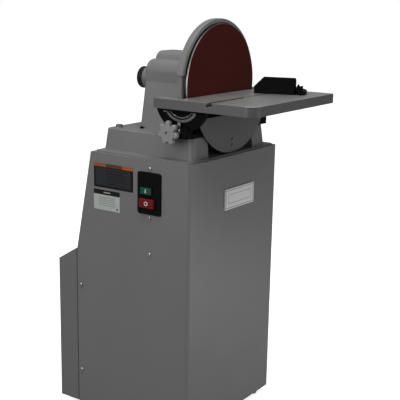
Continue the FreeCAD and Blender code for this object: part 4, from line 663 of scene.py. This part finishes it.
def seam_shade_strip():
    """A black strip deep in the seam between the stand and the motor cover, on each side: painted shade that
    darkens the seam.
    """
    cover_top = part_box("motor_cover")[1][2]
    stand_low, stand_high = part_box("stand_body")
    set_in, thick, gap, wide, edge = 2.35 * MM, 0.9 * MM, 0.25 * MM, 2.0 * MM, 0.2 * MM
    above_foot, below_top = 4 * MM, 7 * MM
    front = stand_high[1] + gap
    for side, word in SIDES.items():
        faces = sorted((side * (stand_high[0] - set_in), side * (stand_high[0] - set_in + thick)))

        def build(shell):
            add_block(shell, (faces[0], front, stand_low[2] + above_foot),
                      (faces[1], front + wide, cover_top - below_top))
        piece_from("seam_shade_strip_" + word, build, "seam_shade_black", "frame", edge)


def louvre_hoods():
    """Pressed hoods over the rear cover's air slots."""
    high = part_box("motor_cover")[1]
    back = high[1]
    reach, rise, half, count, pitch, first = 4.5 * MM, 9 * MM, 79 * MM, 6, 16 * MM, 102 * MM
    sunk, lip, sheet, sheet_drop, edge = 0.3 * MM, 0.5 * MM, 1.1 * MM, 0.9 * MM, 0.3 * MM
    bend = [math.radians(step) for step in range(10, 91, 16)]
    for number in range(count):
        foot = high[2] - first - number * pitch

        def build(shell):
            outer = [(back - sunk, foot + rise)]
            outer += [(back + reach * math.sin(angle), foot - lip + rise * math.cos(angle)) for angle in bend]
            inner = [(y - sheet, z - sheet_drop) for y, z in outer[::-1]]
            inner[0] = (outer[-1][0] - sheet, outer[-1][1])
            add_prism(shell, outer + inner, 0, 2 * half, -half)
        piece_from("louvre_hood_%d" % number, build, "cover_paint", "frame", edge)


def foot_screws():
    """Dark socket screws in the base beside the column's foot."""
    foot_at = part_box("base_casting")[1][2] - 0.2 * MM
    foot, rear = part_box("column")[1][:2]
    radius, socket, socket_floor, rise, edge = 4.6 * MM, 2.3 * MM, 1.6 * MM, 5.0 * MM, 0.4 * MM
    floor_overlap, beside = 0.05 * MM, 6.0 * MM
    for side, word in SIDES.items():
        for number, ahead in enumerate((12 * MM, 96 * MM)):
            centre = (side * (foot + beside), rear - ahead)

            def build(shell):
                add_ring(shell, centre, radius, socket, 2, rise, foot_at, 24)
                add_prism(shell, circle(centre, socket + floor_overlap, 6), 2, socket_floor, foot_at)
            piece_from("foot_screw_%s%d" % (word, number), build, "black_casting", "frame",
                       edge)


def protractor_ticks():
    """Fine strokes on the mitre gauge's fan, every ten degrees about its pivot."""
    centre = pivot("gauge_swing")
    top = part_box("mitre_head")[0][2] + 9 * MM
    middle_angle, degrees_apart, steps = 18, 10, range(-5, 4)
    long_from, short_from, outer = 76.5 * MM, 78 * MM, 85 * MM
    half_wide, proud, sunk = 0.35 * MM, 0.15 * MM, 0.2 * MM

    def build(shell):
        for step in steps:
            inner = short_from if step % 3 else long_from
            add_block(shell, (centre.x + inner, centre.y - half_wide, top - sunk),
                      (centre.x + outer, centre.y + half_wide, top + proud),
                      turn_about(centre, middle_angle + degrees_apart * step, "Z"))
    piece_from("protractor_ticks", build, "mark_white", "mitre_head")


make_camera()
make_studio()
make_floor()
LOOKS = make_materials()
finish_nodes(LOOKS)
button_marks()
window_frames()
tilt_ticks()
seam_shade_strip()
louvre_hoods()
foot_screws()
protractor_ticks()
